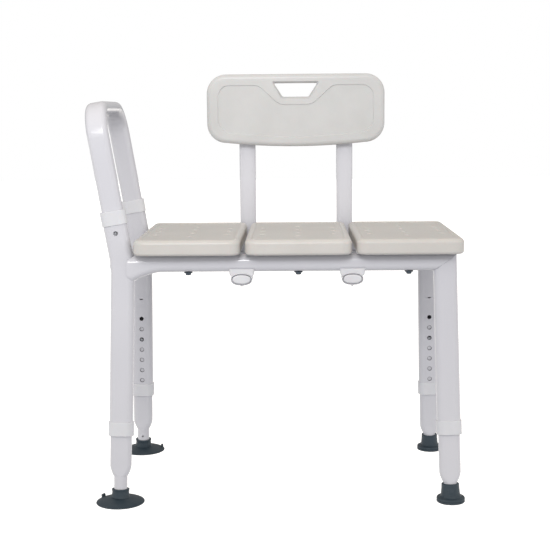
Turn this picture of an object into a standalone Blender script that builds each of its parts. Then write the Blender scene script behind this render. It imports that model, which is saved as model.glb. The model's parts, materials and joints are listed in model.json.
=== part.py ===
"""Bath transfer bench: flat-oval tube frame, three seat panels, backrest on two L tubes,
lift-off handrail, four height-adjustable legs. Metres, +Z up, front towards -Y."""

import math

import bmesh
import bpy
from mathutils import Matrix, Vector

for old in list(bpy.data.objects):
    bpy.data.objects.remove(old, do_unlink=True)

# --- Driving dimensions -------------------------------------------------------------------
# Frame: leg axes are lines that start at the floor and lean towards the middle.
LEG_HALF_X = 0.349
LEG_HALF_Y = 0.199
LEAN_X = 0.0235
LEAN_Y = 0.084
TUBE_W = 0.050
TUBE_T = 0.029
TUBE_WALL = 0.0018
SLIP = 0.0004
WELD_GAP = 0.0003
RAIL_BOTTOM = 0.4863
RAIL_HEIGHT = 0.036
RAIL_LIP = 0.0028
RAIL_FLARE_DROP = 0.020
RAIL_SADDLE = 0.018
# Legs, from the floor up.
HOLE_COUNT = 7
HOLE_PITCH = 0.0254
REST_HOLE = 2
BUTTON_R = 0.0042
HOLE_CLEAR = 0.0004
COLLAR_BOTTOM = 0.143
HOLES_ABOVE_COLLAR = 0.0398
COLLAR_HEIGHT = 0.030
COLLAR_WALL = 0.0020
INNER_WALL = 0.0015
INNER_ABOVE_BUTTON = 0.038
TAPER_TOP_LEFT = 0.080
TAPER_TOP_RIGHT = 0.064
TAPER_LENGTH = 0.023
SPIGOT_D = 0.0283
CUP_R = 0.051
CUP_TOP = 0.030
NECK_WALL = 0.0043
TIP_R = 0.0298
TIP_FLANGE = 0.011
TIP_TOP = 0.039
# Handrail: its limbs are parallel, so that it lifts straight out of its two sockets.
RAIL_TILT = math.radians(9.4)
SOCKET_BEND_DROP = 0.0043
SOCKET_RISE = 0.112
HANDRAIL_BUTTON_DROP = 0.0428
HANDRAIL_END_DROP = 0.080
HANDRAIL_ABOVE_SEAT = 0.2854
HANDRAIL_BEND_R = 0.065
# Seat: it starts beside the left posts and overhangs the frame on its other three sides.
SEAT_POST_GAP = 0.0012
SEAT_END_OVERHANG = 0.0358
SEAT_SIDE_OVERHANG = 0.0511
SEAT_RAIL_GAP = 0.0023
SEAT_THICK = 0.0330
PANEL_GAP = 0.009
PANEL_CORNER = 0.024
PANEL_FIELD_DEPTH = 0.0010
DRAIN_R = 0.0048
BOLT_R = 0.0030
BOLT_CLEAR = 0.0003
# Backrest: it sits a little left of the middle of the seat.
BACK_SHIFT = -0.003
CATCH_R = 0.0040
BACK_TUBE_W = 0.0385
BACK_TUBE_T = 0.0190
BACK_BEND_R = 0.055
SLEEVE_WALL = 0.0030
SLEEVE_RAIL_GAP = 0.0012
UPRIGHT_BEHIND_SEAT = 0.0243
BACK_W = 0.418
BACK_H = 0.169
BACK_ABOVE_SEAT = 0.1789
BACK_THICK = 0.026
BACK_CORNER = 0.045
BACK_BOW = 0.009
UPRIGHT_BELOW_TOP = 0.0255
SCREW_R = 0.0022

# --- Sizes that follow ----------------------------------------------------------------------
RAIL_TOP = RAIL_BOTTOM + RAIL_HEIGHT
RAIL_MID = RAIL_BOTTOM + RAIL_HEIGHT / 2
RAIL_X = LEG_HALF_X - LEAN_X * RAIL_MID
RAIL_Y = LEG_HALF_Y - LEAN_Y * RAIL_MID
TOP_HOLE_Z = COLLAR_BOTTOM + HOLES_ABOVE_COLLAR + (HOLE_COUNT - 1) * HOLE_PITCH
BUTTON_Z = TOP_HOLE_Z - REST_HOLE * HOLE_PITCH
HOLE_R = BUTTON_R + HOLE_CLEAR
INNER_TOP = BUTTON_Z + INNER_ABOVE_BUTTON
CATCH_HOLE_R = CATCH_R + HOLE_CLEAR
INNER_W = TUBE_W - 2 * (TUBE_WALL + SLIP)
INNER_T = TUBE_T - 2 * (TUBE_WALL + SLIP)
NECK_R = SPIGOT_D / 2 + NECK_WALL
SEAT_BOTTOM = RAIL_TOP + SEAT_RAIL_GAP
SEAT_TOP = SEAT_BOTTOM + SEAT_THICK
SEAT_LEFT = -RAIL_X + TUBE_W / 2 + SEAT_POST_GAP
SEAT_RIGHT = RAIL_X + SEAT_END_OVERHANG
SEAT_X = (SEAT_LEFT + SEAT_RIGHT) / 2
SEAT_HALF_Y = RAIL_Y + SEAT_SIDE_OVERHANG
PANEL_W = (SEAT_RIGHT - SEAT_LEFT - 2 * PANEL_GAP) / 3
PANEL_PITCH = PANEL_W + PANEL_GAP
SOCKET_BEND_Z = RAIL_MID - SOCKET_BEND_DROP
SOCKET_TOP_Z = SOCKET_BEND_Z + SOCKET_RISE
RAIL_BUTTON_Z = SOCKET_TOP_Z - HANDRAIL_BUTTON_DROP
LIMB_LOW_Z = SOCKET_TOP_Z - HANDRAIL_END_DROP
HANDRAIL_TOP_Z = SEAT_TOP + HANDRAIL_ABOVE_SEAT
SLEEVE_W = BACK_TUBE_W + 2 * (SLIP + SLEEVE_WALL)
SLEEVE_T = BACK_TUBE_T + 2 * (SLIP + SLEEVE_WALL)
BACK_RUN_Z = RAIL_BOTTOM - SLEEVE_RAIL_GAP - SLEEVE_T / 2
UPRIGHT_Y = SEAT_HALF_Y + UPRIGHT_BEHIND_SEAT
BACK_BOTTOM = SEAT_TOP + BACK_ABOVE_SEAT
BACK_TOP = BACK_BOTTOM + BACK_H
UPRIGHT_TOP = BACK_TOP - UPRIGHT_BELOW_TOP

# --- Collections, materials and the common parent ------------------------------------------
parts = bpy.data.collections.new("bath_transfer_bench")
bpy.context.scene.collection.children.link(parts)
helpers = bpy.data.collections.new("cutters")
bpy.context.scene.collection.children.link(helpers)
helpers.hide_render = True

centre = bpy.data.objects.new("bench_centre", None)
parts.objects.link(centre)


def material(name, colour, roughness, metallic):
    made = bpy.data.materials.new(name)
    made.use_nodes = True
    shader = made.node_tree.nodes["Principled BSDF"]
    shader.inputs["Base Color"].default_value = (*colour, 1.0)
    shader.inputs["Roughness"].default_value = roughness
    shader.inputs["Metallic"].default_value = metallic
    return made


PAINT = material("white_painted_tube", (0.78, 0.78, 0.80), 0.30, 0.0)
WHITE = material("white_plastic", (0.82, 0.82, 0.83), 0.38, 0.0)
SEAT = material("ivory_plastic", (0.60, 0.57, 0.52), 0.50, 0.0)
BACK = material("backrest_plastic", (0.68, 0.66, 0.64), 0.48, 0.0)
RUBBER = material("dark_rubber", (0.035, 0.050, 0.062), 0.60, 0.0)
STEEL = material("plated_steel", (0.55, 0.55, 0.56), 0.28, 1.0)
DARK = material("dark_steel", (0.06, 0.08, 0.10), 0.40, 0.8)


# --- Shape helpers ---------------------------------------------------------------------------
def stadium(width, thick, steps=4):
    """A flat-oval outline, anticlockwise, with half circles on the left and right."""
    radius = thick / 2
    offset = max(width / 2 - radius, 0.0001)
    outline = []
    for side in (1, -1):
        for i in range(steps + 1):
            angle = math.pi * (i / steps - 0.5)
            x = side * (offset + radius * math.cos(angle))
            outline.append((x, side * radius * math.sin(angle)))
    return outline


def ovoid(width, thick, steps=4):
    """A flattened oval outline, anticlockwise, with gently curved broad sides."""
    outline = []
    for i in range(4 * steps):
        angle = math.pi / 2 * (i / steps - 1)
        x = math.copysign(abs(math.cos(angle)) ** 0.86, math.cos(angle))
        y = math.copysign(abs(math.sin(angle)) ** 0.86, math.sin(angle))
        outline.append((width / 2 * x, thick / 2 * y))
    return outline


def rounded(width, height, radius, steps=4, bow=0.0):
    """A rectangle with round corners, anticlockwise; bow pushes its lower edge outwards."""
    outline = []
    corners = ((1, -1, -90), (1, 1, 0), (-1, 1, 90), (-1, -1, 180))
    for sx, sy, start in corners:
        for i in range(steps + 1):
            angle = math.radians(start + 90 * i / steps)
            x = sx * (width / 2 - radius) + radius * math.cos(angle)
            y = sy * (height / 2 - radius) + radius * math.sin(angle)
            outline.append((x, y))
    if bow:
        half = width / 2 - radius
        for i in range(1, 8):
            x = -half + 2 * half * i / 8
            outline.append((x, -height / 2 - bow * (1 - (x / half) ** 2)))
    return outline


def flat(outline, z, dx=0.0, dy=0.0):
    return [Vector((x + dx, y + dy, z)) for x, y in outline]


def bmesh_loft(loops, ring):
    """Faces between loops of equal length. A ring closes on itself, otherwise the ends are capped."""
    bm = bmesh.new()
    rows = [[bm.verts.new(p) for p in loop] for loop in loops]
    following = rows[1:] + rows[:1] if ring else rows[1:]
    for a, b in zip(rows, following):
        for i in range(len(a)):
            j = (i + 1) % len(a)
            bm.faces.new((a[i], a[j], b[j], b[i]))
    if not ring:
        bm.faces.new(rows[0][::-1])
        bm.faces.new(rows[-1])
    bmesh.ops.recalc_face_normals(bm, faces=bm.faces)
    return bm


def turned(profile, segments=20, matrix=None):
    """A solid of revolution about local Z from (radius, z) pairs, both ends on flat discs."""
    loops = []
    for radius, z in profile:
        loop = []
        for i in range(segments):
            angle = 2 * math.pi * i / segments
            loop.append(Vector((radius * math.cos(angle), radius * math.sin(angle), z)))
        loops.append(loop)
    bm = bmesh_loft(loops, ring=False)
    if matrix:
        bmesh.ops.transform(bm, matrix=matrix, verts=bm.verts)
    return bm


def rods(places, radius, length, segments=8):
    """Separate plain cylinders in one mesh, each centred on its matrix along its local Z."""
    bm = bmesh.new()
    for place in places:
        bmesh.ops.create_cone(
            bm,
            cap_ends=True,
            segments=segments,
            radius1=radius,
            radius2=radius,
            depth=length,
            matrix=place,
        )
    return bm


def finish(bm, name, collection, matrix, mat):
    mesh = bpy.data.meshes.new(name)
    bm.to_mesh(mesh)
    bm.free()
    obj = bpy.data.objects.new(name, mesh)
    collection.objects.link(obj)
    obj.parent = centre
    obj.matrix_basis = matrix
    if mat:
        mesh.materials.append(mat)
    return obj


def part(bm, name, mat, matrix=Matrix()):
    return finish(bm, name, parts, matrix, mat)


def helper(bm, name, matrix=Matrix()):
    obj = finish(bm, name, helpers, matrix, None)
    obj.hide_render = True
    obj.display_type = "WIRE"
    return obj


def boolean(obj, other, operation="DIFFERENCE"):
    modifier = obj.modifiers.new(f"{operation.lower()}_{other.name}", "BOOLEAN")
    modifier.operation = operation
    modifier.solver = "EXACT"
    modifier.object = other


def tube_loops(frames, width, thick, wall, shape=stadium):
    """Outer loops along the frames and inner loops back, for a hollow tube."""
    outer = shape(width, thick)
    inner = shape(width - 2 * wall, thick - 2 * wall)
    forward = [[f @ Vector((x, y, 0)) for x, y in outer] for f in frames]
    back = [[f @ Vector((x, y, 0)) for x, y in inner] for f in reversed(frames)]
    return forward + back


def axes(origin, x, z):
    """A frame at origin with the given local x and z directions."""
    z = z.normalized()
    x = (x - z * x.dot(z)).normalized()
    y = z.cross(x)
    return Matrix.Translation(origin) @ Matrix((x, y, z)).transposed().to_4x4()


def onto_plane(points, direction, plane_point, normal):
    """Moves points along a direction until they lie on a plane."""
    moved = []
    for p in points:
        t = (plane_point - p).dot(normal) / direction.dot(normal)
        moved.append(p + direction * t)
    return moved


# --- Leg axes --------------------------------------------------------------------------------
LEGS = {
    "front_left": (-1, -1),
    "rear_left": (-1, 1),
    "front_right": (1, -1),
    "rear_right": (1, 1),
}


def leg_direction(sx, sy):
    return Vector((-sx * LEAN_X, -sy * LEAN_Y, 1.0)).normalized()


def leg_point(sx, sy, z):
    return Vector((sx * (LEG_HALF_X - LEAN_X * z), sy * (LEG_HALF_Y - LEAN_Y * z), z))


def leg_frame(sx, sy, along):
    foot = axes(leg_point(sx, sy, 0.0), Vector((1, 0, 0)), leg_direction(sx, sy))
    return foot @ Matrix.Translation((0, 0, along))


def limb_direction():
    return Vector((-math.sin(RAIL_TILT), 0.0, math.cos(RAIL_TILT)))


def limb_point(sy, z):
    start = leg_point(-1, sy, SOCKET_BEND_Z)
    rise = z - SOCKET_BEND_Z
    return start + Vector((-math.tan(RAIL_TILT) * rise, 0.0, rise))


def limb_frame(sy, z):
    across = Vector((math.cos(RAIL_TILT), 0, math.sin(RAIL_TILT)))
    return axes(limb_point(sy, z), across, limb_direction())


def facing(frame, side):
    """A frame at the same point whose local Z looks along the given frame's +Y or -Y."""
    rotation = Matrix.Rotation(math.radians(-90 * side), 4, "X")
    return frame @ rotation


# --- Posts: the fixed outer tubes ------------------------------------------------------------
MITRE_NORMAL = Vector((-RAIL_HEIGHT, 0, TUBE_W)).normalized()


def mitre_point(sy):
    corner = leg_point(1, sy, RAIL_BOTTOM)
    return Vector((corner.x - TUBE_W / 2, 0, RAIL_BOTTOM))


posts = {}
for name, (sx, sy) in LEGS.items():
    low = leg_frame(sx, sy, COLLAR_BOTTOM + 0.004)
    if sx < 0:
        frames = [low]
        bend = 0.016
        for i in range(3):
            share = i / 2
            z = SOCKET_BEND_Z + bend * (2 * share - 1)
            below = leg_point(sx, sy, min(z, SOCKET_BEND_Z))
            point = below if share <= 0.5 else limb_point(sy, z)
            ease = 0.0025 * (1 - abs(2 * share - 1)) ** 2
            along = leg_direction(sx, sy).lerp(limb_direction(), share)
            frames.append(axes(point - Vector((ease, 0, 0)), Vector((1, 0, 0.08)), along))
        frames.append(limb_frame(sy, SOCKET_TOP_Z))
        loops = tube_loops(frames, TUBE_W, TUBE_T, TUBE_WALL)
    else:
        loops = tube_loops([low, leg_frame(sx, sy, RAIL_TOP)], TUBE_W, TUBE_T, TUBE_WALL)
        shift = MITRE_NORMAL * -WELD_GAP
        for k in (1, 2):
            loops[k] = onto_plane(
                loops[k], leg_direction(sx, sy), mitre_point(sy) + shift, MITRE_NORMAL
            )
    post = part(bmesh_loft(loops, ring=True), f"{name}_post", PAINT)
    posts[name] = post
    holes = []
    for i in range(HOLE_COUNT):
        frame = leg_frame(sx, sy, TOP_HOLE_Z - i * HOLE_PITCH)
        holes.append(facing(frame, -sy) @ Matrix.Translation((0, 0, TUBE_T / 2)))
    if sx < 0:
        frame = limb_frame(sy, RAIL_BUTTON_Z)
        holes.append(facing(frame, sy) @ Matrix.Translation((0, 0, TUBE_T / 2)))
    boolean(post, helper(rods(holes, HOLE_R, 0.012), f"{name}_post_holes"))
    slot_frame = facing(leg_frame(sx, sy, TOP_HOLE_Z + 0.0475), -sy)
    slot_frame = slot_frame @ Matrix.Translation((0, 0, TUBE_T / 2))
    slot = [flat(rounded(0.0075, 0.0026, 0.0011, 2), z) for z in (-0.006, 0.006)]
    boolean(post, helper(bmesh_loft(slot, False), f"{name}_post_slot", slot_frame))

# --- Long rails: coped round the left posts, mitred to the right posts ------------------------
rails = {}
for word, sy in (("front", -1), ("rear", 1)):
    edge = leg_point(-1, sy, RAIL_MID).x + TUBE_W / 2
    stations = (
        (edge - RAIL_SADDLE, 1.0, 1.0),
        (edge - 0.004, 1.0, 1.0),
        (edge + 0.006, 0.70, 0.7),
        (edge + 0.020, 0.42, 0.45),
        (edge + 0.037, 0.22, 0.22),
        (edge + 0.048, 0.08, 0.08),
        (edge + 0.058, 0.0, 0.0),
        (leg_point(1, sy, RAIL_MID).x, 0.0, 0.0),
    )
    outer_loops = []
    inner_loops = []
    for index, (x, drop, lip) in enumerate(stations):
        for loops, wall in ((outer_loops, 0.0), (inner_loops, TUBE_WALL)):
            height = RAIL_HEIGHT + RAIL_FLARE_DROP * drop - 2 * wall
            depth = TUBE_T + 2 * RAIL_LIP * lip - 2 * wall
            middle = RAIL_TOP - wall - height / 2
            loop = []
            for u, v in stadium(height, depth):
                z = middle + u
                y = sy * (LEG_HALF_Y - LEAN_Y * z) + v
                back = RAIL_SADDLE * 0.6 * (u / (height / 2)) ** 2 if index == 0 else 0.0
                loop.append(Vector((x + back, y, z)))
            loops.append(loop)
    for loops in (outer_loops, inner_loops):
        shift = MITRE_NORMAL * WELD_GAP
        loops[-1] = onto_plane(
            loops[-1], Vector((1, 0, 0)), mitre_point(sy) + shift, MITRE_NORMAL
        )
    rail = part(bmesh_loft(outer_loops + inner_loops[::-1], True), f"{word}_rail", PAINT)
    rails[word] = rail
    frames = [leg_frame(-1, sy, RAIL_MID - 0.085), leg_frame(-1, sy, RAIL_MID + 0.095)]
    grown = stadium(TUBE_W + 2 * WELD_GAP, TUBE_T + 2 * WELD_GAP)
    column = bmesh_loft([[f @ Vector((x, y, 0)) for x, y in grown] for f in frames], False)
    boolean(rail, helper(column, f"{word}_rail_cope"))

# --- Side rails: short tubes between the front and rear posts --------------------------------
for word, sx in (("left", -1), ("right", 1)):
    x_mid = leg_point(sx, 1, RAIL_MID).x
    loops = []
    for wall, ends in ((0.0, (-1, 1)), (TUBE_WALL, (1, -1))):
        for end in ends:
            loop = []
            for u, v in stadium(RAIL_HEIGHT - 0.002 - 2 * wall, 0.026 - 2 * wall):
                z = RAIL_MID + u
                reach = LEG_HALF_Y - LEAN_Y * z - TUBE_T / 2 - RAIL_LIP - WELD_GAP
                loop.append(Vector((x_mid + v, end * reach, z)))
            loops.append(loop)
    part(bmesh_loft(loops, True), f"{word}_side_rail", PAINT)


# --- Collars on the open tube ends -----------------------------------------------------------
def collar(name, frame, height, lip):
    """A plastic ring over a tube end, from local z 0 at the lip up over the tube."""
    hole = 2 * SLIP
    tube = 2 * WELD_GAP
    steps = (
        (INNER_W + hole, INNER_T + hole, 0.0),
        (TUBE_W + 2 * COLLAR_WALL - 0.0012, TUBE_T + 2 * COLLAR_WALL - 0.0012, 0.0),
        (TUBE_W + 2 * COLLAR_WALL, TUBE_T + 2 * COLLAR_WALL, 0.0006),
        (TUBE_W + 2 * COLLAR_WALL, TUBE_T + 2 * COLLAR_WALL, height - 0.0006),
        (TUBE_W + 2 * COLLAR_WALL - 0.0012, TUBE_T + 2 * COLLAR_WALL - 0.0012, height),
        (TUBE_W + tube, TUBE_T + tube, height),
        (TUBE_W + tube, TUBE_T + tube, lip),
        (INNER_W + hole, INNER_T + hole, lip),
    )
    loops = [flat(stadium(w, t), z) for w, t, z in steps]
    return part(bmesh_loft(loops, True), name, WHITE, frame)


for name, (sx, sy) in LEGS.items():
    collar(f"{name}_leg_collar", leg_frame(sx, sy, COLLAR_BOTTOM), COLLAR_HEIGHT, 0.0034)
for word, sy in (("front", -1), ("rear", 1)):
    top = limb_frame(sy, SOCKET_TOP_Z + 0.0034) @ Matrix.Rotation(math.pi, 4, "X")
    collar(f"{word}_handrail_collar", top, COLLAR_HEIGHT, 0.0030)


# --- Leg extensions, feet, snap buttons and spring clips --------------------------------------
def snap_button(name, seat_frame, wall_out, reach):
    """A domed pin with an inner flange; local Z of seat_frame points out of the tube."""
    flange_out = wall_out - INNER_WALL - 0.0003
    tip = reach + 0.0030
    profile = (
        (BUTTON_R + 0.0018, flange_out - 0.0010),
        (BUTTON_R + 0.0018, flange_out),
        (BUTTON_R, flange_out + 0.0001),
        (BUTTON_R, tip - 0.0014),
        (BUTTON_R * 0.60, tip),
    )
    return part(turned(profile, 12), name, STEEL, seat_frame)


def spring_clip(name, seat_frame, wall_out, length, up):
    """A V-shaped leaf spring inside the tube, one arm behind the button's flange."""
    arm = wall_out - INNER_WALL - 0.0003 - 0.0010 - 0.0003
    far = -(wall_out - INNER_WALL - 0.0004)
    thick = 0.0008
    path = (
        (0.010, arm - thick / 2),
        (-0.010, arm - thick / 2),
        (-length, thick),
        (-length - 0.0015, -0.0006),
        (-length, -0.0022),
        (-length * 0.35, far + thick / 2),
    )
    loops = []
    for i, (along, out) in enumerate(path):
        before = Vector(path[max(i - 1, 0)])
        after = Vector(path[min(i + 1, len(path) - 1)])
        step = (after - before).normalized()
        normal = Vector((-step.y, step.x)) * thick / 2
        loop = []
        for sa, sb in ((-1, -1), (1, -1), (1, 1), (-1, 1)):
            y = along + normal.x * sb
            z = out + normal.y * sb
            loop.append(Vector((sa * 0.0055, up * y, z)))
        loops.append(loop)
    return part(bmesh_loft(loops, False), name, STEEL, seat_frame)


for name, (sx, sy) in LEGS.items():
    frame = leg_frame(sx, sy, 0.0)
    taper = TAPER_TOP_LEFT if sx < 0 else TAPER_TOP_RIGHT
    wall = 2 * INNER_WALL
    sections = (
        (INNER_W, INNER_T, INNER_TOP),
        (INNER_W, INNER_T, taper),
        (INNER_W - 0.006, INNER_T + 0.0012, taper - TAPER_LENGTH * 0.42),
        (SPIGOT_D + 0.003, SPIGOT_D - 0.0006, taper - TAPER_LENGTH * 0.85),
        (SPIGOT_D + 0.0004, SPIGOT_D, taper - TAPER_LENGTH),
        (SPIGOT_D + 0.0004, SPIGOT_D, 0.0095),
    )
    loops = [flat(stadium(w, t), z) for w, t, z in sections]
    loops += [flat(stadium(w - wall, t - wall), z) for w, t, z in reversed(sections)]
    extension = part(bmesh_loft(loops, True), f"{name}_leg_extension", PAINT, frame)
    seat = facing(frame @ Matrix.Translation((0, 0, BUTTON_Z)), -sy)
    hole = helper(
        rods([seat @ Matrix.Translation((0, 0, INNER_T / 2))], HOLE_R, 0.008),
        f"{name}_extension_hole",
    )
    boolean(extension, hole)
    if sx < 0:
        dimple = facing(frame @ Matrix.Translation((0, 0, CUP_TOP + 0.0105)), -sy)
        dimple = dimple @ Matrix.Translation((0, 0, SPIGOT_D / 2))
        boolean(extension, helper(rods([dimple], 0.0022, 0.006), f"{name}_spigot_hole"))
    snap_button(f"{name}_leg_button", seat, INNER_T / 2, TUBE_T / 2)
    spring_clip(f"{name}_leg_spring_clip", seat, INNER_T / 2, 0.042, sy)

    base = Matrix.Translation(leg_point(sx, sy, 0.0))
    if sx < 0:
        profile = (
            (CUP_R - 0.0035, 0.0),
            (CUP_R, 0.0012),
            (CUP_R, 0.0028),
            (CUP_R * 0.86, 0.0058),
            (CUP_R * 0.64, 0.0092),
            (NECK_R + 0.0025, 0.0118),
            (NECK_R - 0.0010, 0.0130),
        )
        foot = part(turned(profile, 24), f"{name}_suction_cup", RUBBER, base)
        neck = ((NECK_R - 0.003, 0.004), (NECK_R, 0.0125), (NECK_R, 0.0190))
        neck += ((NECK_R, CUP_TOP - 0.001), (NECK_R - 0.001, CUP_TOP))
        boolean(foot, helper(turned(neck, 16), f"{name}_cup_neck", frame), "UNION")
        tab = [flat(rounded(0.0050, 0.0110, 0.0015, 2), z) for z in (0.0021, 0.0118)]
        angle = math.radians(150 if sy < 0 else 15)
        place = base @ Matrix.Rotation(angle, 4, "Z") @ Matrix.Translation((CUP_R - 0.0065, 0, 0))
        boolean(foot, helper(bmesh_loft(tab, False), f"{name}_cup_tab", place), "UNION")
        hollow = ((CUP_R - 0.008, -0.002), (CUP_R - 0.0081, 0.0), (CUP_R * 0.45, 0.0035))
        boolean(foot, helper(turned(hollow, 24), f"{name}_cup_hollow", base))
    else:
        profile = (
            (TIP_R - 0.0012, 0.0),
            (TIP_R, 0.0015),
            (TIP_R, TIP_FLANGE - 0.0015),
            (TIP_R - 0.002, TIP_FLANGE),
            (NECK_R + 0.0035, TIP_FLANGE + 0.001),
        )
        foot = part(turned(profile, 20), f"{name}_rubber_tip", RUBBER, base)
        neck = ((NECK_R, 0.004), (NECK_R + 0.0022, TIP_FLANGE), (NECK_R, TIP_TOP - 0.002))
        neck += ((NECK_R - 0.001, TIP_TOP),)
        boolean(foot, helper(turned(neck, 16), f"{name}_tip_neck", frame), "UNION")
    bore = ((SPIGOT_D / 2 + 0.0005, 0.0090), (SPIGOT_D / 2 + 0.0005, 0.060))
    boolean(foot, helper(turned(bore, 16), f"{name}_foot_bore", frame))

# --- Handrail ----------------------------------------------------------------------------------
across = Vector((math.cos(RAIL_TILT), 0, math.sin(RAIL_TILT)))
upward = limb_direction()
forward = Vector((0, 1, 0))
crown = limb_point(-1, HANDRAIL_TOP_Z - INNER_T / 2 * math.cos(RAIL_TILT))
frames = [limb_frame(-1, LIMB_LOW_Z)]
for sy in (-1, 1):
    hub = crown - upward * HANDRAIL_BEND_R
    hub.y = sy * (abs(crown.y) - HANDRAIL_BEND_R)
    for i in range(6):
        angle = math.pi / 2 * (i / 5 if sy < 0 else 1 + i / 5)
        outward = upward * math.sin(angle) - forward * math.cos(angle)
        along = upward * math.cos(angle) + forward * math.sin(angle)
        frames.append(axes(hub + outward * HANDRAIL_BEND_R, across, along))
frames.append(axes(limb_point(1, LIMB_LOW_Z), across, -upward))
loops = tube_loops(frames, INNER_W, INNER_T, INNER_WALL)
handrail = part(bmesh_loft(loops, True), "handrail", PAINT)
holes = []
for word, sy in (("front", -1), ("rear", 1)):
    seat = facing(limb_frame(sy, RAIL_BUTTON_Z), sy)
    holes.append(seat @ Matrix.Translation((0, 0, INNER_T / 2)))
    snap_button(f"{word}_handrail_button", seat, INNER_T / 2, TUBE_T / 2)
    spring_clip(f"{word}_handrail_spring_clip", seat, INNER_T / 2, 0.040, -sy)
boolean(handrail, helper(rods(holes, HOLE_R, 0.008), "handrail_holes"))

# --- Seat panels and their bolts -----------------------------------------------------------------
bolt_places = []
for index, word in enumerate(("left", "middle", "right")):
    x = SEAT_X + (index - 1) * PANEL_PITCH
    depth = 2 * SEAT_HALF_Y
    levels = (
        (0.0060, 0.0),
        (0.0, 0.0060),
        (0.0, SEAT_THICK - 0.0100),
        (0.0030, SEAT_THICK - 0.0026),
        (0.0100, SEAT_THICK),
        (0.0140, SEAT_THICK),
        (0.0156, SEAT_THICK - 0.0010),
    )
    loops = []
    for inset, z in levels:
        radius = max(PANEL_CORNER - inset, 0.006)
        loops.append(flat(rounded(PANEL_W - 2 * inset, depth - 2 * inset, radius, 3), z))
    place = Matrix.Translation((x, 0, SEAT_BOTTOM))
    panel = part(bmesh_loft(loops, False), f"{word}_seat_panel", SEAT, place)
    drains = []
    for column, rows in ((-1, 3), (0, 4), (1, 3)):
        for row in range(rows):
            spot = Vector((column * 0.078, (row - (rows - 1) / 2) * 0.070, SEAT_THICK / 2))
            drains.append(Matrix.Translation(spot))
    boolean(panel, helper(rods(drains, DRAIN_R, 0.05), f"{word}_panel_drains", place))
    for end, sy in (("front", -1), ("rear", 1)):
        y = sy * (LEG_HALF_Y - LEAN_Y * RAIL_MID)
        bolt_places.append(Matrix.Translation((x, y, 0)))
        low = RAIL_BOTTOM - 0.0003
        shank = low + 0.0001
        profile = (
            (0.0050, low - 0.0068),
            (0.0058, low - 0.0058),
            (0.0058, low - 0.0026),
            (0.0090, low - 0.0022),
            (0.0090, low),
            (BOLT_R, shank),
            (BOLT_R, SEAT_BOTTOM + 0.018),
        )
        part(turned(profile, 10), f"{word}_{end}_seat_bolt", DARK, bolt_places[-1])
    wells = [p @ Matrix.Translation((0, 0, SEAT_BOTTOM)) for p in bolt_places[-2:]]
    boolean(panel, helper(rods(wells, BOLT_R + BOLT_CLEAR, 0.040, 10), f"{word}_panel_wells"))
for word, sy in (("front", -1), ("rear", 1)):
    spots = [p @ Matrix.Translation((0, 0, RAIL_MID)) for p in bolt_places]
    spots = [p for p in spots if p.to_translation().y * sy > 0]
    boolean(rails[word], helper(rods(spots, BOLT_R + BOLT_CLEAR, 0.1, 10), f"{word}_rail_bores"))

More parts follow.
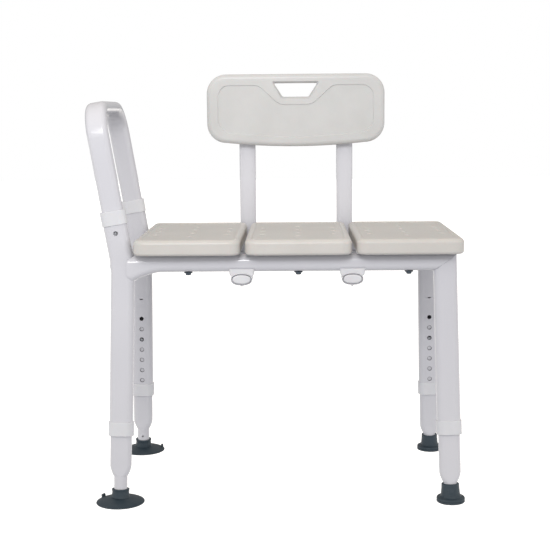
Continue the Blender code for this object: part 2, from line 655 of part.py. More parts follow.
# --- Backrest: L tubes in sleeves, panel, screws, plugs, buttons ----------------------------------
back_front_y = UPRIGHT_Y - BACK_TUBE_T / 2 - WELD_GAP - BACK_THICK
run_front_y = -(LEG_HALF_Y - LEAN_Y * BACK_RUN_Z) - 0.0195
button_y = -RAIL_Y - 0.0034
screw_zs = (BACK_BOTTOM + BACK_H * 0.24, BACK_TOP - BACK_H * 0.33)
back_x = SEAT_X + BACK_SHIFT
tube_xs = {"left": back_x - PANEL_PITCH / 2, "right": back_x + PANEL_PITCH / 2}
for side, x in tube_xs.items():
    frames = [axes(Vector((x, run_front_y, BACK_RUN_Z)), Vector((1, 0, 0)), Vector((0, 1, 0)))]
    for i in range(7):
        angle = math.pi / 2 * i / 6
        y = UPRIGHT_Y - BACK_BEND_R + BACK_BEND_R * math.sin(angle)
        z = BACK_RUN_Z + BACK_BEND_R - BACK_BEND_R * math.cos(angle)
        along = Vector((0, math.cos(angle), math.sin(angle)))
        frames.append(axes(Vector((x, y, z)), Vector((1, 0, 0)), along))
    top = Vector((x, UPRIGHT_Y, UPRIGHT_TOP))
    frames.append(axes(top, Vector((1, 0, 0)), Vector((0, 0, 1))))
    loops = tube_loops(frames, BACK_TUBE_W, BACK_TUBE_T, INNER_WALL, ovoid)
    tube = part(bmesh_loft(loops, True), f"{side}_backrest_tube", PAINT)
    down = Matrix.Translation((x, button_y, BACK_RUN_Z)) @ Matrix.Rotation(math.pi, 4, "X")
    spot = Matrix.Translation((x, button_y, BACK_RUN_Z - BACK_TUBE_T / 2))
    boolean(tube, helper(rods([spot], CATCH_HOLE_R, 0.008), f"{side}_backrest_tube_hole"))
    profile = (
        (CATCH_R + 0.0018, BACK_TUBE_T / 2 - INNER_WALL - 0.0019),
        (CATCH_R + 0.0018, BACK_TUBE_T / 2 - INNER_WALL - 0.0009),
        (CATCH_R, BACK_TUBE_T / 2 - INNER_WALL - 0.0008),
        (CATCH_R, SLEEVE_T / 2 + 0.0010),
        (0.0029, SLEEVE_T / 2 + 0.0024),
        (0.0012, SLEEVE_T / 2 + 0.0030),
    )
    part(turned(profile, 12), f"{side}_backrest_button", STEEL, down)
    bores = []
    for level, z in (("lower", screw_zs[0]), ("upper", screw_zs[1])):
        place = Matrix.Translation((x, UPRIGHT_Y, z)) @ Matrix.Rotation(math.pi / 2, 4, "X")
        bores.append(place)
        head = -BACK_TUBE_T / 2 - 0.0003
        profile = (
            (0.0026, head - 0.0024),
            (0.0042, head - 0.0012),
            (0.0042, head),
            (SCREW_R, head + 0.0001),
            (SCREW_R, BACK_TUBE_T / 2 + 0.014),
        )
        part(turned(profile, 8), f"{side}_{level}_backrest_screw", STEEL, place)
    boolean(tube, helper(rods(bores, SCREW_R + 0.0003, 0.030, 8), f"{side}_backrest_tube_bores"))
    plug_frame = axes(Vector((x, run_front_y, BACK_RUN_Z)), Vector((1, 0, 0)), Vector((0, 1, 0)))
    inside = 2 * (INNER_WALL + 0.0003)
    sections = (
        (BACK_TUBE_W - 0.006, BACK_TUBE_T - 0.006, -0.0034),
        (BACK_TUBE_W - 0.001, BACK_TUBE_T - 0.001, -0.0022),
        (BACK_TUBE_W - 0.0004, BACK_TUBE_T - 0.0004, -0.0003),
        (BACK_TUBE_W - inside, BACK_TUBE_T - inside, -0.0002),
        (BACK_TUBE_W - inside, BACK_TUBE_T - inside, 0.0100),
    )
    loops = [flat(ovoid(w, t), z) for w, t, z in sections]
    part(bmesh_loft(loops, False), f"{side}_backrest_plug", WHITE, plug_frame)

    for word, sy in (("front", -1), ("rear", 1)):
        rail_y = sy * (LEG_HALF_Y - LEAN_Y * BACK_RUN_Z)
        ring_frame = axes(Vector((x, rail_y, BACK_RUN_Z)), Vector((1, 0, 0)), Vector((0, 1, 0)))
        reach = (-0.021, 0.016) if sy < 0 else (-0.018, 0.0115)
        ring = [flat(ovoid(SLEEVE_W, SLEEVE_T), y) for y in reach]
        sleeve = part(bmesh_loft(ring, False), f"{word}_{side}_backrest_sleeve", WHITE, ring_frame)
        cradle = []
        deep = TUBE_T + 2 * 0.0032
        cradle_top = RAIL_BOTTOM + 0.0070
        levels = (
            (0.036, BACK_RUN_Z),
            (0.042, RAIL_BOTTOM - 0.0085),
            (0.0505, RAIL_BOTTOM - 0.0055),
            (0.054, cradle_top),
        )
        for wide, z in levels:
            y = sy * (LEG_HALF_Y - LEAN_Y * z)
            cradle.append(flat(rounded(wide, deep, 0.0045, 3), z, x, y))
        cradle = helper(bmesh_loft(cradle, False), f"{word}_{side}_sleeve_cradle")
        boolean(sleeve, cradle, "UNION")
        bed = []
        for end in (-0.040, 0.040):
            loop = []
            for u, v in stadium(RAIL_HEIGHT + 2 * WELD_GAP, TUBE_T + 2 * WELD_GAP):
                z = RAIL_MID + u
                loop.append(Vector((x + end, sy * (LEG_HALF_Y - LEAN_Y * z) + v, z)))
            bed.append(loop)
        boolean(sleeve, helper(bmesh_loft(bed, False), f"{word}_{side}_sleeve_bed"))
        wide = BACK_TUBE_W + 2 * SLIP
        thick = BACK_TUBE_T + 2 * SLIP
        channel = [flat(ovoid(wide, thick), y) for y in (-0.06, 0.06)]
        channel = helper(bmesh_loft(channel, False), f"{word}_{side}_sleeve_way", ring_frame)
        boolean(sleeve, channel)
        if sy < 0:
            spot = Matrix.Translation((x, button_y, BACK_RUN_Z - SLEEVE_T / 2))
            boolean(sleeve, helper(rods([spot], CATCH_HOLE_R, 0.010), f"{side}_sleeve_hole"))

height = BACK_TOP - BACK_BOTTOM - BACK_BOW
levels = (
    (0.0080, 0.0),
    (0.0024, 0.0020),
    (0.0, 0.0075),
    (0.0, BACK_THICK - 0.0075),
    (0.0024, BACK_THICK - 0.0020),
    (0.0080, BACK_THICK),
)
loops = []
for inset, depth in levels:
    outline = rounded(BACK_W - 2 * inset, height - 2 * inset, BACK_CORNER - inset, 5, BACK_BOW)
    loops.append([Vector((x, depth, z)) for x, z in outline])
back_mid_z = BACK_TOP - height / 2
place = Matrix.Translation((back_x, back_front_y, back_mid_z))
panel = part(bmesh_loft(loops, False), "backrest_panel", BACK, place)
down = height / 2
slot = []
for y in (-0.01, BACK_THICK + 0.01):
    outline = ((-0.051, -0.0215), (0.051, -0.0215), (0.0305, -0.0530), (-0.0305, -0.0530))
    slot.append([Vector((x, y, z + down)) for x, z in outline])
boolean(panel, helper(bmesh_loft(slot, False), "backrest_slot", place))
field = []
half_field = (
    (0.0, -0.148),
    (0.161, -0.137),
    (0.176, -0.130),
    (0.182, -0.115),
    (0.182, -0.043),
    (0.176, -0.031),
    (0.166, -0.027),
    (0.087, -0.027),
    (0.043, -0.069),
    (0.036, -0.073),
)
outline = list(half_field) + [(-x, z) for x, z in reversed(half_field[1:])]
for y in (-0.004, 0.0015):
    field.append([Vector((x, y, z + down)) for x, z in outline])
boolean(panel, helper(bmesh_loft(field, False), "backrest_field", place))
wells = []
for x in tube_xs.values():
    for z in screw_zs:
        spot = Matrix.Translation((x, UPRIGHT_Y - BACK_TUBE_T / 2, z))
        wells.append(spot @ Matrix.Rotation(math.pi / 2, 4, "X"))
boolean(panel, helper(rods(wells, SCREW_R + 0.0003, 0.034, 8), "backrest_wells"))

# --- The common parent puts the middle of the object's box over the origin ----------------------
bpy.context.view_layer.update()
graph = bpy.context.evaluated_depsgraph_get()
low = Vector((10.0, 10.0, 10.0))
high = -low
for obj in parts.objects:
    if obj.type != "MESH":
        continue
    for corner in obj.evaluated_get(graph).bound_box:
        point = obj.matrix_world @ Vector(corner)
        low = Vector(map(min, low, point))
        high = Vector(map(max, high, point))
centre.location = (-(low.x + high.x) / 2, -(low.y + high.y) / 2, -low.z)
bpy.context.view_layer.update()
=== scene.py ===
"""Bath transfer bench: welded frame of painted flat-oval tube, three blow-moulded seat panels,
a backrest on two L-shaped tubes, a lift-off handrail and four height-adjustable legs."""

import json
from math import copysign, cos, hypot, pi, radians, sin

import bmesh
import bpy
from mathutils import Matrix, Vector


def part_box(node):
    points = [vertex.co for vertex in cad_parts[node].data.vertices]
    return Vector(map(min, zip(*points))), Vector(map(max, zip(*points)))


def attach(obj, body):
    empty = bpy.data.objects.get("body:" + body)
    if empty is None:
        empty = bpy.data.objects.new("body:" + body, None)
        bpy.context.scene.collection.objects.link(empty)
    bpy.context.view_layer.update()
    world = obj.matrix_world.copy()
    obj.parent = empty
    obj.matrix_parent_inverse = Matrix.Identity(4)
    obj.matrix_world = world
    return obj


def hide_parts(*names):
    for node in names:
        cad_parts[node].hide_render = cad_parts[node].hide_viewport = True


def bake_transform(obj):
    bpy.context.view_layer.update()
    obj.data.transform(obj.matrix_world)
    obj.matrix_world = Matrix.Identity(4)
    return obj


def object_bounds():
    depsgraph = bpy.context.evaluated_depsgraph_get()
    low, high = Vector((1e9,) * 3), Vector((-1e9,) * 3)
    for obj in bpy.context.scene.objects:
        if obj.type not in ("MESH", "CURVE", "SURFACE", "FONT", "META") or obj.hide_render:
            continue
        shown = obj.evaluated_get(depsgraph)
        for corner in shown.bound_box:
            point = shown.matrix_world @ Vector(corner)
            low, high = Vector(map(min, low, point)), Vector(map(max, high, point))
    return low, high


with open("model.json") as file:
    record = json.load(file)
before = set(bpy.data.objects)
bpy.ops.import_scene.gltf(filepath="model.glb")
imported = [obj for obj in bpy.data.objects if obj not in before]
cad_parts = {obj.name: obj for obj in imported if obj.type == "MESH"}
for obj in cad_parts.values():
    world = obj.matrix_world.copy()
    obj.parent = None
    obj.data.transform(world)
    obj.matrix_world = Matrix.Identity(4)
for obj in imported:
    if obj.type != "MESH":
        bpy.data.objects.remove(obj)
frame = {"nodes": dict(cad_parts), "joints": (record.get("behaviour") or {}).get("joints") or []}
cad_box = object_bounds()

# === Posts ===
# The four fixed outer legs: flat-oval aluminium tube, 50 by 29 mm, drilled every inch for the
# height buttons and painted gloss white. The left pair bends outwards at the rail and carries
# the handrail; the right pair is mitred and welded to the long rails.
POST_WIDTH = 0.050
POST_THICK = 0.029
POST_WALL = 0.0018
HOLE_COUNT = 7
HOLE_PITCH = 0.0254
HOLE_RADIUS = 0.0046
REST_HOLE = 2
SLOT_ABOVE_HOLES = 0.0475
HOLE_LIP = 0.0004
HOLE_REACH = 0.006
WELD_SEAM = 0.00006
RAIL_HEIGHT = 0.036
COLLAR_HEIGHT = 0.030
TUBE_IN_COLLAR = 0.004
SOCKET_IN_COLLAR = 0.0034
SOCKET_BEND = 0.0043
SOCKET_BEND_HALF = 0.016
BEND_STEPS = 12
BEND_EASE = 0.0025
BEND_LEAN = 0.08
MITRE_ROUND = 0.0005
MARK_SIZE = (0.0075, 0.0026)
MERGE_DISTANCE = 0.000002
LEGS = {"front_left": (-1, -1), "rear_left": (-1, 1), "front_right": (1, -1), "rear_right": (1, 1)}


def middle(node):
    """The centre of a CAD node's box."""
    low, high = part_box(node)
    return (Vector(low) + Vector(high)) / 2


def axes(origin, x, z):
    """A frame at origin with the given local x and z directions."""
    z = z.normalized()
    x = (x - z * x.dot(z)).normalized()
    return Matrix.Translation(origin) @ Matrix((x, z.cross(x), z)).transposed().to_4x4()


def travel(joint_name):
    """The unit direction in which a joint moves its body."""
    joint = next(j for j in frame["joints"] if j["name"] == joint_name)
    return Vector(joint["axis"]).normalized()


def leg_axes(name):
    """A frame whose local z runs up the leg's axis from the floor."""
    up = -travel(f"{name}_leg_adjust")
    point = middle(f"{name}_leg_collar")
    return axes(point - up * (point.z / up.z), Vector((1, 0, 0)), up)


def facing(place, side):
    """The same place with local z turned to look along its +y or -y."""
    return place @ Matrix.Rotation(radians(-90 * side), 4, "X")


def along(place, distance):
    return place @ Matrix.Translation((0, 0, distance))


def oval(width, thick, steps=14):
    """A flat-oval outline, anticlockwise, with half circles on the left and right."""
    radius = thick / 2
    offset = max(width / 2 - radius, 0.00002)
    outline = []
    for side in (1, -1):
        for i in range(steps + 1):
            angle = pi * (i / steps - 0.5)
            x = side * (offset + radius * cos(angle))
            outline.append((x, side * radius * sin(angle)))
    return outline


def ovoid(width, thick, steps=14):
    """A flattened oval outline, anticlockwise, with gently curved broad sides."""
    outline = []
    for i in range(4 * steps):
        angle = pi / 2 * (i / steps - 1)
        x = copysign(abs(cos(angle)) ** 0.86, cos(angle))
        y = copysign(abs(sin(angle)) ** 0.86, sin(angle))
        outline.append((width / 2 * x, thick / 2 * y))
    return outline


def flat(outline, z, dx=0.0, dy=0.0):
    return [Vector((x + dx, y + dy, z)) for x, y in outline]


def placed(place, outline):
    return [place @ Vector((x, y, 0)) for x, y in outline]


def in_scene(name, data):
    """A new object that holds the data."""
    obj = bpy.data.objects.new(name, data)
    bpy.context.scene.collection.objects.link(obj)
    return obj


def meshed(bm, name="draft"):
    """A new object with the faces built so far."""
    mesh = bpy.data.meshes.new(name)
    bm.to_mesh(mesh)
    bm.free()
    return in_scene(name, mesh)


def loft(loops, ring=False, place=None):
    """An object skinned between loops of equal length; a ring closes on itself."""
    bm = bmesh.new()
    rows = [[bm.verts.new(p) for p in loop] for loop in loops]
    following = rows[1:] + rows[:1] if ring else rows[1:]
    for a, b in zip(rows, following):
        for i in range(len(a)):
            j = (i + 1) % len(a)
            bm.faces.new((a[i], a[j], b[j], b[i]))
    if not ring:
        bm.faces.new(rows[0][::-1])
        bm.faces.new(rows[-1])
    if place:
        bmesh.ops.transform(bm, matrix=place, verts=bm.verts)
    bmesh.ops.recalc_face_normals(bm, faces=bm.faces)
    return meshed(bm)


def turned(profile, segments, place=None):
    """A solid of revolution about local z from (radius, z) pairs."""
    turns = [2 * pi * i / segments for i in range(segments)]
    loops = [[Vector((r * cos(a), r * sin(a), z)) for a in turns] for r, z in profile]
    return loft(loops, place=place)


def bore(radius, ends, segments, place):
    """A straight round cutter between two heights of local z."""
    return turned([(radius, z) for z in ends], segments, place)


def tube(places, width, thick, wall, shape=oval):
    """A hollow flat-oval tube through the given places."""
    outer = [placed(p, shape(width, thick)) for p in places]
    inner = [placed(p, shape(width - 2 * wall, thick - 2 * wall)) for p in places]
    return loft(outer + inner[::-1], ring=True)


def joined(drafts):
    """One object from several drafts, for a cutter with many parts."""
    bm = bmesh.new()
    for draft in drafts:
        bm.from_mesh(draft.data)
        bpy.data.objects.remove(draft)
    return meshed(bm)


def shaped(draft, cutter, operation="DIFFERENCE"):
    """Adds a Boolean with a cutter, which settle() removes afterwards."""
    modifier = draft.modifiers.new("shaped_by", "BOOLEAN")
    modifier.operation = operation
    modifier.solver = "EXACT"
    modifier.object = cutter


def eased(draft, width):
    """Rounds the sharp edges that the draft has at this point."""
    modifier = draft.modifiers.new("eased_edges", "BEVEL")
    modifier.width = width
    modifier.segments = 2
    modifier.limit_method = "ANGLE"
    modifier.angle_limit = radians(50)
    modifier.use_clamp_overlap = True
    return draft


def baked(obj):
    """The object's evaluated mesh as plain data."""
    bpy.context.view_layer.update()
    graph = bpy.context.evaluated_depsgraph_get()
    mesh = bpy.data.meshes.new_from_object(obj.evaluated_get(graph), depsgraph=graph)
    mesh.transform(obj.matrix_world)
    return mesh


def settle(draft, name, finish, sharp=38):
    """A closed, smooth-shaded piece from a draft: its modifiers applied, its cutters removed."""
    mesh = baked(draft)
    cutters = [m.object for m in draft.modifiers if m.type == "BOOLEAN"]
    for used in [draft, *cutters]:
        bpy.data.objects.remove(used)
    bm = bmesh.new()
    bm.from_mesh(mesh)
    bmesh.ops.remove_doubles(bm, verts=bm.verts, dist=MERGE_DISTANCE)
    bmesh.ops.dissolve_degenerate(bm, edges=bm.edges, dist=MERGE_DISTANCE)
    bmesh.ops.recalc_face_normals(bm, faces=bm.faces)
    bm.to_mesh(mesh)
    bm.free()
    mesh.shade_smooth()
    mesh.set_sharp_from_angle(angle=radians(sharp))
    mesh.materials.clear()
    mesh.materials.append(finish)
    piece = in_scene(name, mesh)
    weights = piece.modifiers.new("face_weights", "WEIGHTED_NORMAL")
    weights.keep_sharp = True
    plain = baked(piece)
    piece.modifiers.clear()
    piece.data = plain
    bpy.data.meshes.remove(mesh)
    plain.name = name
    return piece


class Value:
    """A socket of a node tree, for materials and Geometry Nodes; arithmetic adds Math nodes."""

    def __init__(self, tree, socket=None):
        self.tree = tree
        self.socket = socket

    def node(self, kind, settings=(), inputs=(), output=0):
        """Any other node: its settings are set first, then the values or links of its sockets."""
        made = self.tree.nodes.new(kind)
        for key, value in dict(settings).items():
            if key != "stops":
                setattr(made, key, value)
                continue
            ramp = made.color_ramp.elements
            while len(ramp) < len(value):
                ramp.new(0.5)
            for element, (position, colour) in zip(ramp, value):
                element.position = position
                element.color = (*colour, 1.0)
        for key, value in dict(inputs).items():
            if isinstance(value, Value):
                self.tree.links.new(value.socket, made.inputs[key])
            else:
                made.inputs[key].default_value = value
        return Value(self.tree, made.outputs[output])

    def math(self, operation, first, second=0.0):
        return self.node("ShaderNodeMath", {"operation": operation}, {0: first, 1: second})

    def __add__(self, other):
        return self.math("ADD", self, other)

    def __sub__(self, other):
        return self.math("SUBTRACT", self, other)

    def __rsub__(self, other):
        return self.math("SUBTRACT", other, self)

    def __mul__(self, other):
        return self.math("MULTIPLY", self, other)

    __radd__ = __add__
    __rmul__ = __mul__

    def between(self, low, high):
        """0 at low, 1 at high, smooth between and held outside."""
        settings = {"interpolation_type": "SMOOTHSTEP"}
        return self.node("ShaderNodeMapRange", settings, {0: self, 1: low, 2: high})

    def blend(self, first, second):
        """A colour from first to second as this value goes from 0 to 1."""
        first = first if isinstance(first, Value) else (*first, 1.0)
        second = second if isinstance(second, Value) else (*second, 1.0)
        settings = {"data_type": "RGBA"}
        return self.node("ShaderNodeMix", settings, {0: self, 6: first, 7: second}, 2)

    def noise(self, where, scale, detail=2.0, roughness=0.5, stretch=None):
        if stretch:
            where = self.node("ShaderNodeMapping", (), {"Vector": where, "Scale": stretch})
        inputs = {"Vector": where, "Scale": scale, "Detail": detail, "Roughness": roughness}
        return self.node("ShaderNodeTexNoise", (), inputs)

    def bump(self, height, distance, strength=1.0, under=None):
        inputs = {"Height": height, "Distance": distance, "Strength": strength}
        if under:
            inputs["Normal"] = under
        return self.node("ShaderNodeBump", (), inputs)


def new_finish(name, **constants):
    """A Principled material: constants go straight on its sockets. Returns it with its tools."""
    made = bpy.data.materials.new(name)
    made.use_nodes = True
    shader = made.node_tree.nodes["Principled BSDF"]
    for key, value in constants.items():
        shader.inputs[key.replace("_", " ")].default_value = value
    tools = Value(made.node_tree)
    spot = tools.node("ShaderNodeTexCoord", (), (), 3)

    def feed(**links):
        for key, value in links.items():
            made.node_tree.links.new(value.socket, shader.inputs[key.replace("_", " ")])
        return made

    return tools, spot, feed


# Gloss white powder coat: fine orange peel, faint haze, a few soft scuffs.
t, spot, feed = new_finish(
    "white_painted_tube", Specular_IOR_Level=0.5, Coat_Roughness=0.20, Coat_IOR=1.5
)
haze = t.noise(spot, 14.0, 5.0, 0.6)
cloud = t.noise(spot, 3.2, 3.0)
scuff = t.noise(spot, 60.0, 6.0, 0.7, (1.0, 1.0, 0.12)).between(0.66, 0.82)
colour = cloud.between(0.3, 0.7).blend((0.575, 0.576, 0.618), (0.609, 0.610, 0.650))
peel = t.bump(t.noise(spot, 420.0), 0.00008, 0.25)
PAINT = feed(
    Base_Color=(scuff * 0.25).blend(colour, (0.560, 0.556, 0.585)),
    Roughness=haze * 0.10 + scuff * 0.08 + 0.17,
    Coat_Weight=0.55 - haze * 0.20,
    Normal=t.bump(t.noise(spot, 55.0, 1.0, 0.4), 0.00020, 0.15, peel),
)

# Painted shade: where the drill has cut through the paint, the sides of the holes get a near-black,
# slightly metallic finish that stands in for the shade inside them.
t, spot, feed = new_finish("painted_hole_shade", Metallic=0.35, Specular_IOR_Level=0.4)
hole_shade_noise = t.noise(spot, 160.0, 3.0, 0.6)
colour = hole_shade_noise.blend((0.070, 0.072, 0.080), (0.150, 0.150, 0.160))
HOLE_SHADE = feed(Base_Color=colour, Roughness=hole_shade_noise * 0.2 + 0.42)


def shade_hole_sides(piece, place, radius, distances):
    """Gives the sides of the holes drilled square through a tube's flat face the near-black
    painted-shade finish.
    """
    piece.data.materials.append(HOLE_SHADE)
    turn = place.inverted()
    for face in piece.data.polygons:
        centre = turn @ face.center
        normal = turn.to_3x3() @ face.normal
        near = any(hypot(centre.x, centre.z - z) < radius for z in distances)
        if near and abs(normal.y) < 0.9:
            face.material_index = 1


LEG_AXES = {name: leg_axes(name) for name in LEGS}
RAIL_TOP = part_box("front_rail")[1][2]
RAIL_BOTTOM = RAIL_TOP - RAIL_HEIGHT
RAIL_MIDDLE = RAIL_TOP - RAIL_HEIGHT / 2
LIMB_UP = travel("handrail_lift")
LIMB_ACROSS = Vector((LIMB_UP.z, 0, -LIMB_UP.x))
MITRE_NORMAL = Vector((-RAIL_HEIGHT, 0, POST_WIDTH)).normalized()


def leg_height(name, z):
    """The point of a leg's axis at a world height."""
    up, foot = LEG_AXES[name].col[2].xyz, LEG_AXES[name].to_translation()
    return foot + up * ((z - foot.z) / up.z)


def distance_along(name, node):
    """How far up the leg's axis a node's centre lies."""
    return (LEG_AXES[name].inverted() @ middle(node)).z


def limb(word, z):
    """The handrail limb's place at a world height; local z runs up the limb."""
    start = leg_height(f"{word}_left", RAIL_MIDDLE - SOCKET_BEND)
    return axes(start + LIMB_UP * ((z - start.z) / LIMB_UP.z), LIMB_ACROSS, LIMB_UP)


def onto_plane(points, direction, target, normal):
    """The points moved along a direction until they lie on the plane through the target."""
    across = direction.dot(normal)
    return [p + direction * ((target - p).dot(normal) / across) for p in points]


def mitre_point(name):
    return Vector((leg_height(name, RAIL_BOTTOM).x - POST_WIDTH / 2, 0, RAIL_BOTTOM))


for name, (sx, sy) in LEGS.items():
    place = LEG_AXES[name]
    up = place.col[2].xyz
    word = name.split("_")[0]
    collar_low = distance_along(name, f"{name}_leg_collar") - COLLAR_HEIGHT / 2
    low = along(place, collar_low + TUBE_IN_COLLAR)
    if sx < 0:
        places = [low]
        for i in range(BEND_STEPS + 1):
            share = i / BEND_STEPS
            z = RAIL_MIDDLE - SOCKET_BEND + SOCKET_BEND_HALF * (2 * share - 1)
            point = leg_height(name, z) if share <= 0.5 else limb(word, z).to_translation()
            point.x -= BEND_EASE * (1 - abs(2 * share - 1)) ** 2
            places.append(axes(point, Vector((1, 0, BEND_LEAN)), up.lerp(LIMB_UP, share)))
        socket = middle(f"{word}_handrail_collar")
        socket += LIMB_UP * (COLLAR_HEIGHT / 2 - SOCKET_IN_COLLAR)
        places.append(axes(socket, LIMB_ACROSS, LIMB_UP))
        draft = tube(places, POST_WIDTH, POST_THICK, POST_WALL)
    else:
        skins = [oval(POST_WIDTH - 2 * wall, POST_THICK - 2 * wall) for wall in (0, POST_WALL)]
        high = axes(leg_height(name, RAIL_TOP), Vector((1, 0, 0)), up)
        cut = mitre_point(name) - MITRE_NORMAL * WELD_SEAM
        tops = [onto_plane(placed(high, skin), up, cut, MITRE_NORMAL) for skin in skins]
        loops = [placed(low, skins[0]), *tops, placed(low, skins[1])]
        draft = eased(loft(loops, ring=True), MITRE_ROUND)
    narrow = HOLE_RADIUS - HOLE_LIP
    shape = ((narrow, 0.0), (narrow, 0.0050), (HOLE_RADIUS + 0.0009, 0.0063))
    sunk = POST_THICK / 2 - HOLE_REACH
    top_hole = distance_along(name, f"{name}_leg_button") + REST_HOLE * HOLE_PITCH
    holes = [top_hole - i * HOLE_PITCH for i in range(HOLE_COUNT)]
    spots = [along(facing(along(place, distance), -sy), sunk) for distance in holes]
    cutters = [turned(shape, 34, spot) for spot in spots]
    if sx < 0:
        button = limb(word, middle(f"{word}_handrail_button").z)
        spot = along(facing(button, sy), sunk)
        cutters.append(turned(shape, 32, spot))
    mark = along(facing(along(place, top_hole + SLOT_ABOVE_HOLES), -sy), POST_THICK / 2)
    loops = [flat(oval(*MARK_SIZE, 8), z) for z in (-0.006, 0.003)]
    cutters.append(loft(loops, place=mark))
    shaped(draft, joined(cutters))
    piece = settle(draft, f"{name}_post_tube", PAINT)
    # Painted shade: the sides of the drilled holes take the near-black hole finish.
    shade_hole_sides(piece, place, HOLE_RADIUS + 0.0010, holes)
    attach(piece, "frame")
    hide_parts(f"{name}_post")

# === Long rails ===
# The front and rear rails: flat-oval tube standing on its narrow edge. The left end is swaged
# wider and coped round the post; the right end is mitred. Both are welded and painted over.
RAIL_WALL = 0.0018
RAIL_LIP = 0.0028
RAIL_ROUND = 0.0006
FLARE_DROP = 0.020
FLARE_LENGTH = 0.062
FLARE_START = 0.004
FLARE_STEPS = 16
FLARE_POWER = 1.7
SADDLE = 0.018
SADDLE_CURL = SADDLE * 0.6
COPE_REACH = (-0.085, 0.095)
BOLT_BORE = 0.0034

for word in ("front", "rear"):
    post = f"{word}_left"
    edge = leg_height(post, RAIL_MIDDLE).x + POST_WIDTH / 2
    stops = [edge - SADDLE, edge - 0.011]
    stops += [edge - FLARE_START + FLARE_LENGTH * i / FLARE_STEPS for i in range(FLARE_STEPS + 1)]
    stops.append(leg_height(f"{word}_right", RAIL_MIDDLE).x)
    cut = mitre_point(f"{word}_right") + MITRE_NORMAL * WELD_SEAM
    shells = ([], [])
    for index, x in enumerate(stops):
        share = min(max((x - edge + FLARE_START) / FLARE_LENGTH, 0.0), 1.0)
        flare = (1 - share) ** FLARE_POWER
        for loops, wall in zip(shells, (0.0, RAIL_WALL)):
            height = RAIL_HEIGHT + FLARE_DROP * flare - 2 * wall
            depth = POST_THICK + 2 * RAIL_LIP * flare - 2 * wall
            centre_z = RAIL_TOP - wall - height / 2
            loop = []
            for u, v in oval(height, depth):
                curl = SADDLE_CURL * (u / (height / 2)) ** 2
                back = (curl, max(0.0, curl - 0.005), 0.0)[min(index, 2)]
                z = centre_z + u
                loop.append(Vector((x + back, leg_height(post, z).y + v, z)))
            loops.append(loop)
    for loops in shells:
        loops[-1] = onto_plane(loops[-1], Vector((1, 0, 0)), cut, MITRE_NORMAL)
    draft = loft(shells[0] + shells[1][::-1], ring=True)
    eased(draft, RAIL_ROUND)
    grown = oval(POST_WIDTH + 2 * WELD_SEAM, POST_THICK + 2 * WELD_SEAM)
    lengths = [along(LEG_AXES[post], RAIL_MIDDLE + reach) for reach in COPE_REACH]
    shaped(draft, loft([placed(p, grown) for p in lengths]))
    bores = []
    for seat in ("left", "middle", "right"):
        spot = middle(f"{seat}_{word}_seat_bolt")
        spot.z = RAIL_MIDDLE
        place = Matrix.Translation(spot)
        bores.append(bore(BOLT_BORE, (-0.05, 0.05), 24, place))
    shaped(draft, joined(bores))
    piece = settle(draft, f"{word}_rail_tube", PAINT)
    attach(piece, "frame")
    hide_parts(f"{word}_rail")

# === Side rails ===
# Two short flat-oval tubes that tie the front posts to the rear ones under the seat ends,
# butted and welded between them.
SIDE_HEIGHT = 0.034
SIDE_THICK = 0.026
SWEEP_MERGE = 0.00001
NEAR_HALF = 0.4999


def piece_tree(name, inputs, build):
    """A Geometry Nodes tree with named inputs, the last one its finish; build adds its nodes."""
    tree = bpy.data.node_groups.new(name, "GeometryNodeTree")
    for label, kind in inputs.items():
        tree.interface.new_socket(label, in_out="INPUT", socket_type=f"NodeSocket{kind}")
    tree.interface.new_socket("Mesh", in_out="OUTPUT", socket_type="NodeSocketGeometry")
    t = Value(tree)
    given = tree.nodes.new("NodeGroupInput")
    *values, finish = (Value(tree, socket) for socket in given.outputs[:len(inputs)])
    real = t.node("GeometryNodeRealizeInstances", (), {"Geometry": build(t, *values)})
    done = t.node("GeometryNodeSetMaterial", (), {"Geometry": real, "Material": finish})
    tree.links.new(done.socket, tree.nodes.new("NodeGroupOutput").inputs[0])
    return tree


def grown_from(obj, tree, values):
    """The plain mesh that a tree makes from an object with these input values."""
    modifier = obj.modifiers.new("grown", "NODES")
    modifier.node_group = tree
    for item in tree.interface.items_tree:
        if item.in_out == "INPUT" and item.name in values:
            modifier[item.identifier] = values[item.name]
    mesh = baked(obj)
    obj.modifiers.remove(modifier)
    return mesh


def flat_oval_sweep(t, path, width, thick, wide, steps):
    """A flat-oval outline swept along a curve with its wide side held."""
    sides = {"Width": thick, "Height": width}
    outline = t.node("GeometryNodeCurvePrimitiveQuadrilateral", (), sides)
    corners = {"Curve": outline, "Count": steps, "Radius": thick * NEAR_HALF}
    outline = t.node("GeometryNodeFilletCurve", {"mode": "POLY"}, corners)
    tangent = t.node("GeometryNodeInputTangent")
    thin = t.node("ShaderNodeVectorMath", {"operation": "CROSS_PRODUCT"}, {0: tangent, 1: wide})
    thin = t.node("ShaderNodeVectorMath", {"operation": "NORMALIZE"}, {0: thin})
    held = t.node("GeometryNodeSetCurveNormal", {"mode": "FREE"}, {"Curve": path, "Normal": thin})
    return t.node("GeometryNodeCurveToMesh", (), {"Curve": held, "Profile Curve": outline})


SWEEP = piece_tree(
    "flat_oval_sweep",
    {"Path": "Geometry", "Width": "Float", "Thickness": "Float", "Wide Axis": "Vector",
     "Corner Steps": "Int", "Finish": "Material"},
    flat_oval_sweep,
)


